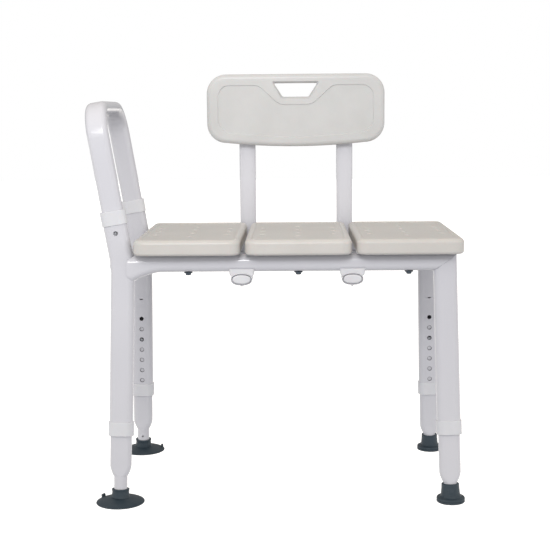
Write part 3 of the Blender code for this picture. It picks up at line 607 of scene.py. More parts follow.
def swept_tube(points, width, thick, wide, wall):
    """A hollow painted tube along points: the sweep gives the skin and Solidify the wall."""
    curve = bpy.data.curves.new("path", "CURVE")
    curve.dimensions = "3D"
    spline = curve.splines.new("POLY")
    spline.points.add(len(points) - 1)
    for target, point in zip(spline.points, points):
        target.co = (*point, 1.0)
    guide = in_scene("path", curve)
    mesh = grown_from(guide, SWEEP, {"Width": width, "Thickness": thick, "Wide Axis": wide,
                                     "Corner Steps": 8, "Finish": PAINT})
    bpy.data.objects.remove(guide)
    bm = bmesh.new()
    bm.from_mesh(mesh)
    bmesh.ops.remove_doubles(bm, verts=bm.verts, dist=SWEEP_MERGE)
    bmesh.ops.recalc_face_normals(bm, faces=bm.faces)
    draft = meshed(bm)
    skin = draft.modifiers.new("tube_wall", "SOLIDIFY")
    skin.thickness = wall
    skin.offset = -1.0
    return draft


for side in ("left", "right"):
    low, high = (Vector(corner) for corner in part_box(f"{side}_side_rail"))
    ends = [Vector(((low.x + high.x) / 2, y, RAIL_MIDDLE)) for y in (low.y, high.y)]
    points = [ends[0].lerp(ends[1], i / 8) for i in range(9)]
    draft = swept_tube(points, SIDE_HEIGHT, SIDE_THICK, Vector((0, 0, 1)), RAIL_WALL)
    piece = settle(draft, f"{side}_side_tube", PAINT)
    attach(piece, "frame")
    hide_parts(f"{side}_side_rail")

# === Collars ===
# Moulded white plastic rings pushed over the open ends of the four posts and of the two
# handrail sockets; each has a small lip under the tube's end that guides the inner tube.
COLLAR_WALL = 0.0020
COLLAR_ROUND = 0.0011
COLLAR_FIT = 0.0002
LEG_LIP = 0.0034
SOCKET_LIP = 0.0030
INNER_WIDTH = 0.0456
INNER_THICK = 0.0246

# Smooth moulded plastic with a faint grain and flow marks.
t, spot, feed = new_finish("white_plastic", Specular_IOR_Level=0.5, Subsurface_Weight=0.03)
flow = t.noise(spot, 18.0, 4.0, 0.6, (1.0, 1.0, 0.4))
grain = t.noise(spot, 900.0, 2.0, 0.6)
PLASTIC = feed(
    Base_Color=flow.between(0.35, 0.7).blend((0.660, 0.658, 0.685), (0.700, 0.698, 0.722)),
    Roughness=flow * 0.14 + grain * 0.05 + 0.26,
    Normal=t.bump(grain, 0.00006, 0.4),
)


def quarter(steps):
    """The sines and cosines of even steps from 0 to 90 degrees."""
    angles = [pi / 2 * i / steps for i in range(steps + 1)]
    return [(sin(angle), cos(angle)) for angle in angles]


def collar(place, lip):
    """A ring with rounded rims, from local z 0 at its lip up over the tube."""
    grown = [(0.0006, 0.0004), (0.0014, 0.0)]
    steps = [(INNER_WIDTH + grow, INNER_THICK + grow, z) for grow, z in grown]
    around, deep = (size + 2 * COLLAR_WALL for size in (POST_WIDTH, POST_THICK))
    rim = [(2 * COLLAR_ROUND * (1 - s), COLLAR_ROUND * (1 - c)) for s, c in quarter(4)]
    rim += [(inset, COLLAR_HEIGHT - z) for inset, z in reversed(rim)]
    steps += [(around - inset, deep - inset, z) for inset, z in rim]
    for z in (COLLAR_HEIGHT, lip):
        steps.append((POST_WIDTH + COLLAR_FIT, POST_THICK + COLLAR_FIT, z))
    steps.append((INNER_WIDTH + 0.0006, INNER_THICK + 0.0006, lip))
    return loft([flat(oval(w, t, 16), z) for w, t, z in steps], ring=True, place=place)


for name in LEGS:
    start = distance_along(name, f"{name}_leg_collar") - COLLAR_HEIGHT / 2
    draft = collar(along(LEG_AXES[name], start), LEG_LIP)
    piece = settle(draft, f"{name}_leg_ring", PLASTIC)
    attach(piece, "frame")
    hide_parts(f"{name}_leg_collar")
for word in ("front", "rear"):
    place = axes(middle(f"{word}_handrail_collar"), LIMB_ACROSS, LIMB_UP)
    place = along(place, COLLAR_HEIGHT / 2) @ Matrix.Rotation(pi, 4, "X")
    draft = collar(place, SOCKET_LIP)
    piece = settle(draft, f"{word}_socket_ring", PLASTIC)
    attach(piece, "frame")
    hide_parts(f"{word}_handrail_collar")

# === Leg extensions ===
# The sliding inner legs: flat-oval tube drawn down to a round spigot at the foot. A snap
# button in the upper end locks in one of the post's holes.
INNER_WALL = 0.0015
ABOVE_BUTTON = 0.038
SPIGOT = 0.0283
SPIGOT_HOLE = 0.0022
TAPER_TOP = {-1: 0.080, 1: 0.064}
TAPER_LENGTH = 0.023
TAPER_STEPS = 14
SHOULDER = 0.0020
CUP_TOP = 0.030
TUBE_FOOT = 0.0095

for name, (sx, sy) in LEGS.items():
    place = LEG_AXES[name]
    button = distance_along(name, f"{name}_leg_button")
    taper = TAPER_TOP[sx]
    sections = [(INNER_WIDTH, INNER_THICK, z) for z in (button + ABOVE_BUTTON, taper + 0.003)]
    for i in range(TAPER_STEPS + 1):
        share = i / TAPER_STEPS
        narrow = (1 - share ** 1.5) ** 0.9
        swell = share * share * (3 - 2 * share)
        width = SPIGOT + SHOULDER + (INNER_WIDTH - SPIGOT - SHOULDER) * narrow
        thick = INNER_THICK + (SPIGOT - INNER_THICK) * swell
        sections.append((width, min(thick, width - 0.0001), taper - (TAPER_LENGTH - 0.001) * share))
    sections += [(SPIGOT + 0.0002, SPIGOT, z) for z in (taper - TAPER_LENGTH - 0.0006, TUBE_FOOT)]
    cut = 2 * INNER_WALL
    loops = [flat(oval(w, t), z) for w, t, z in sections]
    loops += [flat(oval(w - cut, t - cut), z) for w, t, z in reversed(sections)]
    draft = loft(loops, ring=True, place=place)
    spot = along(facing(along(place, button), -sy), INNER_THICK / 2)
    shaped(draft, bore(HOLE_RADIUS, (-0.004, 0.004), 32, spot))
    if sx < 0:
        pin = along(facing(along(place, CUP_TOP + 0.0105), -sy), SPIGOT / 2)
        shaped(draft, bore(SPIGOT_HOLE, (-0.003, 0.003), 20, pin))
    piece = settle(draft, f"{name}_inner_tube", PAINT, sharp=50)
    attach(piece, f"{name}_leg")
    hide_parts(f"{name}_leg_extension")

# === Snap buttons and spring clips ===
# Plated steel pins with domed heads on the arms of V-shaped leaf springs inside the tubes.
BUTTON_RADIUS = 0.0038
BUTTON_PROUD = 0.0030
FLANGE_PROUD = 0.0018
HEAD_HEIGHT = 0.0030
CROWN = 0.0003
ARM = INNER_THICK / 2 - INNER_WALL - 0.0016

# Dull zinc plate with fine turning marks and some tarnish.
t, spot, feed = new_finish("plated_steel", Metallic=1.0)
marks = t.noise(spot, 1300.0, 3.0, 0.7)
stain = t.noise(spot, 160.0, 5.0, 0.6)
STEEL = feed(
    Base_Color=stain.between(0.35, 0.75).blend((0.27, 0.28, 0.30), (0.11, 0.115, 0.13)),
    Roughness=stain * 0.22 + marks * 0.08 + 0.16,
    Normal=t.bump(marks, 0.00004, 0.5),
)


def dome(radius, flange, tip):
    """(radius, z) pairs of a flanged pin with a rounded head."""
    wide = radius + FLANGE_PROUD
    profile = [(wide, flange - 0.0010), (wide, flange), (radius, flange + 0.0001)]
    for s, c in quarter(9)[:-1]:
        profile.append((radius * c, tip - HEAD_HEIGHT + (HEAD_HEIGHT + CROWN) * s))
    return profile + [(0.00005, tip + CROWN)]


pins = [(f"{name}_leg", f"{name}_leg", -LEGS[name][1]) for name in LEGS]
pins += [("front_handrail", "handrail", -1), ("rear_handrail", "handrail", 1)]
for stem, body, side in pins:
    if body == "handrail":
        spot = limb(stem.split("_")[0], middle(f"{stem}_button").z)
    else:
        name = stem.removesuffix("_leg")
        spot = along(LEG_AXES[name], distance_along(name, f"{stem}_button"))
    seat = facing(spot, side)
    tip = POST_THICK / 2 + BUTTON_PROUD - CROWN
    profile = dome(BUTTON_RADIUS, INNER_THICK / 2 - INNER_WALL - 0.0003, tip)
    piece = settle(turned(profile, 40, seat), f"{stem}_snap_pin", STEEL)
    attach(piece, f"{stem}_pin")
    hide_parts(f"{stem}_button")

    clip = frame["nodes"][f"{stem}_spring_clip"]
    mesh = clip.data.copy()
    mesh.transform(clip.matrix_world)
    draft = in_scene("draft", mesh)
    piece = settle(draft, f"{stem}_clip_leaf", STEEL, sharp=25)
    bend, end = (along(seat, z).to_translation() for z in (0.0008, ARM - 0.0010))
    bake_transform(piece)
    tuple(bend)
    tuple(end)
    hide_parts(f"{stem}_spring_clip")

# === Suction cups ===
# Dark rubber feet on the left legs, which stand in the bath: a thin-rimmed bell with a
# release tab, under a thick sleeve pushed on the tube's round spigot.
CUP_RADIUS = 0.051
NECK_RADIUS = 0.01845
TAB_TURN = {-1: 150, 1: 15}
TAB_TILT = 8
TAB_STEPS = ((0.0120, 0.0062, 0.0020), (0.0112, 0.0052, 0.0060), (0.0112, 0.0048, 0.0100),
             (0.0102, 0.0040, 0.0114), (0.0084, 0.0024, 0.0120))
BORE_RADIUS = SPIGOT / 2 + 0.0002
BORE_TOP = 0.060

# Moulded grey rubber: fine grain, dusty patches, slightly polished edges.
t, spot, feed = new_finish("dark_rubber", Specular_IOR_Level=0.35)
dust = t.noise(spot, 55.0, 6.0, 0.65)
grain = t.noise(spot, 1100.0, 3.0, 0.6)
speck = t.node("ShaderNodeTexVoronoi", (), {"Vector": spot, "Scale": 480.0})
pale = dust.between(0.45, 0.75)
colour = pale.blend((0.026, 0.042, 0.056), (0.048, 0.064, 0.077))
RUBBER = feed(
    Base_Color=(speck.between(0.16, 0.05) * 0.35).blend(colour, (0.10, 0.115, 0.125)),
    Roughness=pale * 0.18 + grain * 0.08 + 0.46,
    Normal=t.bump(grain, 0.00012, 0.6, t.bump(dust, 0.0004, 0.25)),
)


def smooth_profile(points, steps=5):
    """(radius, z) pairs rounded through the given points, none of them wider than the widest."""
    widest = max(p[0] for p in points)
    filled = []
    for i in range(len(points) - 1):
        p0, p1 = Vector(points[max(i - 1, 0)]), Vector(points[i])
        p2, p3 = Vector(points[i + 1]), Vector(points[min(i + 2, len(points) - 1)])
        for k in range(steps):
            s = k / steps
            point = 0.5 * (
                2 * p1 + (p2 - p0) * s + (2 * p0 - 5 * p1 + 4 * p2 - p3) * s * s
                + (3 * p1 - p0 - 3 * p2 + p3) * s ** 3
            )
            filled.append((min(point.x, widest), point.y))
    filled.append(tuple(points[-1]))
    return filled


def about(radius, steps):
    """(radius, z) pairs from pairs of how much wider than the radius and z."""
    return [(radius + grow, z) for grow, z in steps]


for name, (sx, sy) in LEGS.items():
    if sx > 0:
        continue
    place = LEG_AXES[name]
    base = Matrix.Translation(place.to_translation())
    bell = smooth_profile([
        *about(CUP_RADIUS, ((-0.0030, 0.0004), (-0.0004, 0.0010), (0, 0.0022), (-0.0012, 0.0034))),
        (CUP_RADIUS * 0.86, 0.0060), (CUP_RADIUS * 0.66, 0.0090), (CUP_RADIUS * 0.46, 0.0113),
        (NECK_RADIUS - 0.0012, 0.0126),
    ])
    under = [(0.0004, 0.0080), (CUP_RADIUS * 0.25, 0.0076), (CUP_RADIUS * 0.55, 0.0052),
             (CUP_RADIUS * 0.80, 0.0024), (CUP_RADIUS - 0.0046, 0.0)]
    draft = turned(under + bell + [(0.0004, 0.0130)], 72, base)
    sleeve = about(NECK_RADIUS, ((-0.0050, 0.0100), (0.0016, 0.0118), (0.0004, 0.0140)))
    sleeve += smooth_profile(about(NECK_RADIUS, (
        (-0.0002, 0.0190), (-0.0006, 0.0230), (-0.0002, 0.0268), (0.0004, 0.0285),
        (-0.0002, 0.0297), (-0.0014, CUP_TOP),
    )), 4)
    shaped(draft, turned(sleeve, 56, place), "UNION")
    tab = base @ Matrix.Rotation(radians(TAB_TURN[sy]), 4, "Z")
    tab = tab @ Matrix.Translation((CUP_RADIUS - 0.0065, 0, 0))
    tab = tab @ Matrix.Rotation(radians(TAB_TILT), 4, "Y")
    loops = [flat([(y, x) for x, y in oval(w, t, 8)][::-1], z) for w, t, z in TAB_STEPS]
    shaped(draft, loft(loops, place=tab), "UNION")
    shaped(draft, bore(BORE_RADIUS, (0.0195, BORE_TOP), 48, place))
    piece = settle(draft, f"{name}_cup_foot", RUBBER)
    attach(piece, f"{name}_leg")
    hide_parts(f"{name}_suction_cup")

# === Rubber tips ===
# Dark rubber ferrules on the right legs, which stand on the bathroom floor: a slightly tapered
# boot over a broad flange with a grooved rim.
TIP_RADIUS = 0.0298
TIP_FLANGE = 0.011
TIP_TOP = 0.039

for name, (sx, sy) in LEGS.items():
    if sx < 0:
        continue
    place = LEG_AXES[name]
    base = Matrix.Translation(place.to_translation())
    profile = [(0.0005, 0.0010), (0.0200, 0.0010), (0.0205, 0.0), (TIP_RADIUS - 0.0020, 0.0)]
    rim = about(TIP_RADIUS, (
        (-0.0008, 0.0003), (0, 0.0014), (0, 0.0040), (-0.0002, 0.0046), (-0.0010, 0.0052),
        (-0.0010, 0.0056), (-0.0002, 0.0062), (0, 0.0068), (-0.0002, TIP_FLANGE - 0.0022),
        (-0.0016, TIP_FLANGE - 0.0004), (-0.0050, TIP_FLANGE),
    ))
    rise = ((0.0050, 0.0004), (0.0030, 0.0018), (0.0010, 0.0060))
    rim += about(NECK_RADIUS, [(grow, TIP_FLANGE + z) for grow, z in rise])
    profile += smooth_profile(rim, 4)
    profile.append((0.0005, TIP_FLANGE + 0.0070))
    draft = turned(profile, 64, base)
    boot = about(NECK_RADIUS, ((-0.004, 0.0090), (0.0024, TIP_FLANGE + 0.0008)))
    boot += smooth_profile(about(NECK_RADIUS, (
        (0.0016, 0.0170), (0.0004, 0.0300), (0.0001, TIP_TOP - 0.0022), (-0.0004, TIP_TOP - 0.0006),
        (-0.0014, TIP_TOP),
    )), 4)
    shaped(draft, turned(boot, 56, place), "UNION")
    shaped(draft, bore(BORE_RADIUS, (0.0090, BORE_TOP), 48, place))
    piece = settle(draft, f"{name}_tip_foot", RUBBER)
    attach(piece, f"{name}_leg")
    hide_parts(f"{name}_rubber_tip")

# === Handrail ===
# One flat-oval tube bent twice into an inverted U. Both parallel limbs slide into the sockets
# of the left posts, where snap buttons hold them.
HANDRAIL_BEND = 0.065
ENDS = (("front", -1), ("rear", 1))

rail_low, rail_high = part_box("handrail")
edge_rise = INNER_WIDTH / 2 * abs(LIMB_UP.x)
low_z = rail_low[2] + edge_rise
crown_z = rail_high[2] - INNER_THICK / 2 * LIMB_UP.z - edge_rise
points = [limb("front", low_z).to_translation()]
for word, sy in ENDS:
    crown = limb(word, crown_z).to_translation()
    hub = crown - LIMB_UP * HANDRAIL_BEND - Vector((0, sy * HANDRAIL_BEND, 0))
    for s, c in quarter(24)[::-sy]:
        points.append(hub + (Vector((0, sy * c, 0)) + LIMB_UP * s) * HANDRAIL_BEND)
points.append(limb("rear", low_z).to_translation())
draft = swept_tube(points, INNER_WIDTH, INNER_THICK, LIMB_ACROSS, INNER_WALL)
cutters = []
for word, sy in ENDS:
    spot = along(facing(limb(word, middle(f"{word}_handrail_button").z), sy), INNER_THICK / 2)
    cutters.append(bore(HOLE_RADIUS, (-0.004, 0.004), 32, spot))
shaped(draft, joined(cutters))
piece = settle(draft, "handrail_tube", PAINT, sharp=50)
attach(piece, "handrail")
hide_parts("handrail")

# === Seat panels ===
# Three hollow blow-moulded polyethylene slabs, ivory, with a bead round the rim, a sunken
# field on top and countersunk drain holes. Two bolts from below hold each to the long rails.
PANEL_CORNER = 0.024
UNDER_ROUND = 0.0064
TOP_ROUND = 0.0100
BORDER_STEP = 0.0022
DRAIN_RADIUS = 0.0048
DRAIN_MOUTH = 0.0074
DRAIN_COLUMN = 0.078
DRAIN_PITCH = 0.070
DRAIN_ROWS = {-1: 3, 0: 4, 1: 3}
BOLT_WELL = 0.0034


def rounded(width, height, radius, steps=8, bow=0.0):
    """A rectangle with round corners, anticlockwise; bow pushes its lower edge outwards."""
    outline = []
    for sx, sy, start in ((1, -1, -90), (1, 1, 0), (-1, 1, 90), (-1, -1, 180)):
        for i in range(steps + 1):
            angle = radians(start + 90 * i / steps)
            x = sx * (width / 2 - radius) + radius * cos(angle)
            y = sy * (height / 2 - radius) + radius * sin(angle)
            outline.append((x, y))
    if bow:
        half = width / 2 - radius
        for i in range(1, 24):
            x = -half + 2 * half * i / 24
            outline.append((x, -height / 2 - bow * (1 - (x / half) ** 2)))
    return outline


def moulded(name, scales, colours, fleck, fleck_share, waves):
    """Satin polyethylene: stippled mould grain, slow mottling, rubbed highlights."""
    t, spot, feed = new_finish(name, Specular_IOR_Level=0.45, Subsurface_Weight=0.04)
    (slow, detail), fine, pores = scales
    mottle = t.noise(spot, slow, detail, 0.6)
    speckle = t.noise(spot, fine, 3.0, 0.7)
    size = {"Vector": spot, "Scale": pores}
    stipple = t.node("ShaderNodeTexVoronoi", {"feature": "SMOOTH_F1"}, size)
    colour = mottle.between(0.3, 0.72).blend(*colours)
    return feed(
        Base_Color=(speckle.between(0.5, 0.8) * fleck_share).blend(colour, fleck),
        Roughness=mottle * 0.12 + speckle * 0.08 + 0.25,
        Normal=t.bump(t.noise(spot, waves[0]), waves[1], 0.12, t.bump(stipple, 0.00012, 0.35)),
    )


SEAT = moulded("ivory_plastic", ((9.0, 6.0), 260.0, 620.0),
               ((0.548, 0.532, 0.506), (0.590, 0.574, 0.550)),
               (0.510, 0.485, 0.450), 0.30, (26.0, 0.0006))

for word in ("left", "middle", "right"):
    low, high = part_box(f"{word}_seat_panel")
    width, depth, thick = (high[i] - low[i] for i in range(3))
    place = Matrix.Translation(((low[0] + high[0]) / 2, (low[1] + high[1]) / 2, low[2]))
    field = thick - BORDER_STEP
    levels = [(0.0160, 0.0012), (0.0135, 0.0012), (0.0120, 0.0)]
    levels += [(UNDER_ROUND * (1 - s), UNDER_ROUND * (1 - c)) for s, c in quarter(6)]
    levels += [(0.0, thick - 0.0155), (0.0003, thick - 0.0128)]
    levels += [(TOP_ROUND * (1 - c), thick - TOP_ROUND * (1 - s)) for s, c in quarter(8)]
    levels += [(0.0128, thick), (0.0138, thick - 0.0003), (0.0146, thick - 0.0016),
               (0.0154, field), (0.0190, field)]
    loops = []
    for inset, z in levels:
        radius = max(PANEL_CORNER - inset * 0.9, 0.006)
        loops.append(flat(rounded(width - 2 * inset, depth - 2 * inset, radius), z))
    draft = loft(loops, place=place)
    shape = ((DRAIN_RADIUS, -0.01), (DRAIN_RADIUS, field - 0.0052),
             (DRAIN_MOUTH - 0.0006, field - 0.0008), (DRAIN_MOUTH, field),
             (DRAIN_MOUTH + 0.0003, field + 0.0006))
    drains = []
    for column, rows in DRAIN_ROWS.items():
        for row in range(rows):
            y = (row - (rows - 1) / 2) * DRAIN_PITCH
            spot = place @ Matrix.Translation((column * DRAIN_COLUMN, y, 0))
            drains.append(turned(shape, 32, spot))
    for end in ("front", "rear"):
        spot = middle(f"{word}_{end}_seat_bolt")
        spot.z = low[2]
        well = Matrix.Translation(spot)
        drains.append(bore(BOLT_WELL, (-0.005, 0.0205), 24, well))
    shaped(draft, joined(drains))
    piece = settle(draft, f"{word}_seat_slab", SEAT, sharp=50)
    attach(piece, "frame")
    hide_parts(f"{word}_seat_panel")

# === Seat bolts ===
# Six blackened machine screws with washers, driven up through the long rails into the panels.
BOLT_RADIUS = 0.0030
WASHER_RADIUS = 0.0090
HEAD_RADIUS = 0.0058
SOCKET_RADIUS = 0.0026

# Blackened steel with worn corners.
t, spot, feed = new_finish("dark_steel", Metallic=0.85)
worn = t.noise(spot, 240.0, 5.0, 0.7)
DARK = feed(
    Base_Color=worn.between(0.5, 0.8).blend((0.045, 0.060, 0.078), (0.16, 0.17, 0.18)),
    Roughness=worn * 0.2 + 0.30,
    Normal=t.bump(t.noise(spot, 1500.0), 0.00003, 0.5),
)


def fixings_on_points(t, points, screw, tilt, seed):
    """One screw on every point of a mesh, tilted alike and turned by a seeded angle."""
    source = t.node("GeometryNodeObjectInfo", (), {"Object": screw}, "Geometry")
    angle = t.node("FunctionNodeRandomValue", (), {2: 0.0, 3: 6.283, "Seed": seed}, 1)
    spin = t.node("ShaderNodeCombineXYZ", (), {2: angle})
    lean = t.node("FunctionNodeEulerToRotation", (), {0: tilt})
    turn = t.node("FunctionNodeEulerToRotation", (), {0: spin})
    both = t.node("FunctionNodeRotateRotation", {"rotation_space": "LOCAL"}, {0: lean, 1: turn})
    copies = {"Points": points, "Instance": source, "Rotation": both}
    return t.node("GeometryNodeInstanceOnPoints", (), copies)


FIXINGS = piece_tree(
    "fixings_on_points",
    {"Points": "Geometry", "Screw": "Object", "Tilt": "Vector", "Seed": "Int",
     "Finish": "Material"},
    fixings_on_points,
)


def fixed_at(spot, screw, tilt, seed, finish):
    """A draft with the screw at the spot."""
    mesh = bpy.data.meshes.new("spot")
    mesh.from_pydata([tuple(spot)], [], [])
    draft = in_scene("draft", mesh)
    values = {"Screw": screw, "Tilt": tilt, "Seed": seed, "Finish": finish}
    draft.data = grown_from(draft, FIXINGS, values)
    return draft


def cut_out(screw, cutters):
    """Cuts the drive into a screw's head for good."""
    for cutter in cutters:
        shaped(screw, cutter)
    screw.data = baked(screw)
    screw.modifiers.clear()
    for cutter in cutters:
        bpy.data.objects.remove(cutter)


low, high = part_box("left_front_seat_bolt")
length = high[2] - low[2]
profile = [(0.0001, 0.0), (0.0040, 0.0), (0.0052, 0.0004), (HEAD_RADIUS, 0.0014),
           (HEAD_RADIUS, 0.0044), (0.0078, 0.0045), (WASHER_RADIUS - 0.0003, 0.0047),
           (WASHER_RADIUS, 0.0051), (WASHER_RADIUS, 0.0063), (WASHER_RADIUS - 0.0002, 0.0067),
           (BOLT_RADIUS, 0.0068), (BOLT_RADIUS, length - 0.0012), (0.0018, length)]
screw = turned(profile, 24)
cut_out(screw, [bore(SOCKET_RADIUS, (-0.002, 0.0026), 6, None)])
for word in ("left", "middle", "right"):
    for end in ("front", "rear"):
        spot = middle(f"{word}_{end}_seat_bolt")
        spot.z = low[2]
        seed = len(word) + 7 * len(end)
        draft = fixed_at(spot, screw, (0, 0, 0), seed, DARK)
        piece = settle(draft, f"{word}_{end}_seat_screw", DARK)
        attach(piece, "frame")
        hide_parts(f"{word}_{end}_seat_bolt")
bpy.data.objects.remove(screw)

# === Backrest sleeves ===
# White plastic saddles clipped up round the long rails; the flat-oval eye under each one
# guides a backrest tube, and the front pair holds the catch buttons.
SLEEVE_WALL = 0.0030
SLEEVE_ROUND = 0.0010
SLEEVE_ENDS = {"front": (-0.021, 0.016), "rear": (-0.018, 0.0115)}
CRADLE_DEEP = POST_THICK + 0.0064
CRADLE_CORNER = 0.0045
BED_HALF = 0.040
BACK_WIDTH = 0.0385
BACK_THICK = 0.0190
SLIP = 0.0004
CATCH_RADIUS = 0.0040

plug_box = {side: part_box(f"{side}_backrest_plug") for side in ("left", "right")}
run_z = (plug_box["left"][0][2] + plug_box["left"][1][2]) / 2
eye_wide, eye_thick = (size + 2 * SLIP for size in (BACK_WIDTH, BACK_THICK))
ring_wide, ring_thick = (size + 2 * SLEEVE_WALL for size in (eye_wide, eye_thick))
cradle_steps = [(0.034, run_z)]
for wide, rise in ((0.0400, -0.0100), (0.0440, -0.0080), (0.0490, -0.0066), (0.0506, -0.0050),
                   (0.0520, 0.0), (0.0540, 0.0064), (0.0534, 0.0070)):
    cradle_steps.append((wide, RAIL_BOTTOM + rise))
for side in ("left", "right"):
    x = (plug_box[side][0][0] + plug_box[side][1][0]) / 2
    for word, (near, far) in SLEEVE_ENDS.items():
        post = f"{word}_left"
        middle_y = leg_height(post, run_z).y
        place = axes(Vector((x, middle_y, run_z)), Vector((1, 0, 0)), Vector((0, 1, 0)))
        steps = [(2 * SLEEVE_ROUND * (1 - s), near + SLEEVE_ROUND * (1 - c)) for s, c in quarter(4)]
        steps += [(inset, far + near - z) for inset, z in reversed(steps)]
        loops = [flat(ovoid(ring_wide - inset, ring_thick - inset, 16), z) for inset, z in steps]
        draft = loft(loops, place=place)
        cradle = []
        for wide, z in cradle_steps:
            deep = CRADLE_DEEP - (0.0006 if z > RAIL_BOTTOM + 0.0068 else 0)
            outline = rounded(wide, deep, CRADLE_CORNER)
            cradle.append(flat(outline, z, x, leg_height(post, z).y))
        shaped(draft, loft(cradle), "UNION")
        bed = []
        for end in (-BED_HALF, BED_HALF):
            outline = oval(RAIL_HEIGHT + 0.0002, POST_THICK + 0.0002)
            heights = [(RAIL_MIDDLE + u, v) for u, v in outline]
            bed.append([Vector((x + end, leg_height(post, z).y + v, z)) for z, v in heights])
        shaped(draft, loft(bed))
        eye = [(0.0046, near - 0.002), (0.0030, near + 0.0004), (0.0022, near + 0.0030),
               (0.0, near + 0.0040), (0.0, far - 0.0006), (0.004, far + 0.002)]
        loops = [flat(ovoid(eye_wide + grow, eye_thick + grow, 16), z) for grow, z in eye]
        shaped(draft, loft(loops, place=place))
        if word == "front":
            spot = middle(f"{side}_backrest_button")
            spot.z = run_z - ring_thick / 2
            way = Matrix.Translation(spot)
            shaped(draft, bore(CATCH_RADIUS + 0.0004, (-0.010, 0.006), 28, way))
        piece = settle(draft, f"{word}_{side}_saddle", PLASTIC)
        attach(piece, "frame")
        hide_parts(f"{word}_{side}_backrest_sleeve")

# === Backrest tubes ===
# Two L-shaped flat-oval tubes, 38.5 by 19 mm: each runs back under the seat through its two
# saddles, turns up behind it and carries the backrest. White plugs close the front ends.
BACK_BEND = 0.055
BACK_WALL = 0.0015
SCREW_WAY = 0.0025
CATCH_WAY = 0.0044
PLUG_SLIP = 0.0004

screw_rows = [middle(f"left_{level}_backrest_screw").z for level in ("lower", "upper")]
for side in ("left", "right"):
    low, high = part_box(f"{side}_backrest_tube")
    x = (low[0] + high[0]) / 2
    front = low[1]
    upright_y = high[1] - BACK_THICK / 2
    wide = Vector((1, 0, 0))
    mouth = axes(Vector((x, front, run_z)), wide, Vector((0, 1, 0)))
    places = [mouth]
    for s, c in quarter(24):
        y = upright_y - BACK_BEND + BACK_BEND * s
        point = Vector((x, y, run_z + BACK_BEND - BACK_BEND * c))
        places.append(axes(point, wide, Vector((0, c, s))))
    places.append(axes(Vector((x, upright_y, high[2])), wide, Vector((0, 0, 1))))
    draft = tube(places, BACK_WIDTH, BACK_THICK, BACK_WALL, ovoid)
    cutters = []
    for z in screw_rows:
        way = Matrix.Translation((x, upright_y, z)) @ Matrix.Rotation(pi / 2, 4, "X")
        cutters.append(bore(SCREW_WAY, (-0.015, 0.015), 20, way))
    spot = middle(f"{side}_backrest_button")
    way = Matrix.Translation((spot.x, spot.y, run_z - BACK_THICK / 2))
    cutters.append(bore(CATCH_WAY, (-0.004, 0.004), 28, way))
    shaped(draft, joined(cutters))
    piece = settle(draft, f"{side}_back_tube", PAINT, sharp=50)
    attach(piece, "backrest")
    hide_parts(f"{side}_backrest_tube")

    inside = 2 * (BACK_WALL + 0.0003)
    steps = [(BACK_WIDTH * 0.60, BACK_THICK * 0.45, -0.0033),
             (BACK_WIDTH * 0.82, BACK_THICK * 0.74, -0.0031)]
    for s, c in quarter(5):
        trim = PLUG_SLIP + 0.0040 * (1 - s)
        steps.append((BACK_WIDTH - trim, BACK_THICK - trim, -0.0008 - 0.0020 * c))
    for trim, z in ((PLUG_SLIP, -0.0001), (inside, 0.0), (inside, 0.0100)):
        steps.append((BACK_WIDTH - trim, BACK_THICK - trim, z))
    draft = loft([flat(ovoid(w, t), z) for w, t, z in steps], place=mouth)
    piece = settle(draft, f"{side}_back_plug", PLASTIC)
    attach(piece, "backrest")
    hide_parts(f"{side}_backrest_plug")

    tip = run_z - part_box(f"{side}_backrest_button")[0][2] + 0.0012
    place = Matrix.Translation((spot.x, spot.y, run_z)) @ Matrix.Rotation(pi, 4, "X")
    profile = dome(CATCH_RADIUS, BACK_THICK / 2 - BACK_WALL - 0.0009, tip)
    piece = settle(turned(profile, 36, place), f"{side}_catch_pin", STEEL)
    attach(piece, f"{side}_backrest_pin")
    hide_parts(f"{side}_backrest_button")

# === Backrest screws ===
# Four plated pan-head screws from behind, through the uprights into the backrest.
SHANK_RADIUS = 0.0022
PAN_RADIUS = 0.0042
BLADE = (0.0044, 0.0009, 0.0002)

low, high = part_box("left_lower_backrest_screw")
length = high[1] - low[1]
profile = [(0.0001, 0.0), (0.0016, 0.00005), (0.0028, 0.0004), (0.0037, 0.0010),
           (PAN_RADIUS, 0.0018), (PAN_RADIUS, 0.0024), (SHANK_RADIUS, 0.0025),
           (SHANK_RADIUS, length - 0.003), (0.0004, length)]
screw = turned(profile, 24)
blades = []
for turn in (0, 90):
    loops = [flat(rounded(*BLADE, 1), z) for z in (-0.001, 0.0013)]
    place = Matrix.Rotation(radians(turn), 4, "Z")
    blades.append(loft(loops, place=place))
cut_out(screw, blades)
for side in ("left", "right"):
    for level in ("lower", "upper"):
        node = f"{side}_{level}_backrest_screw"
        spot = middle(node)
        spot.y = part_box(node)[1][1]
        seed = len(side) * 3 + len(level) + (5 if level == "upper" else 0)
        draft = fixed_at(spot, screw, (pi / 2, 0, 0), seed, STEEL)
        piece = settle(draft, f"{side}_{level}_back_screw", STEEL)
        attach(piece, "backrest")
        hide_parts(node)
bpy.data.objects.remove(screw)

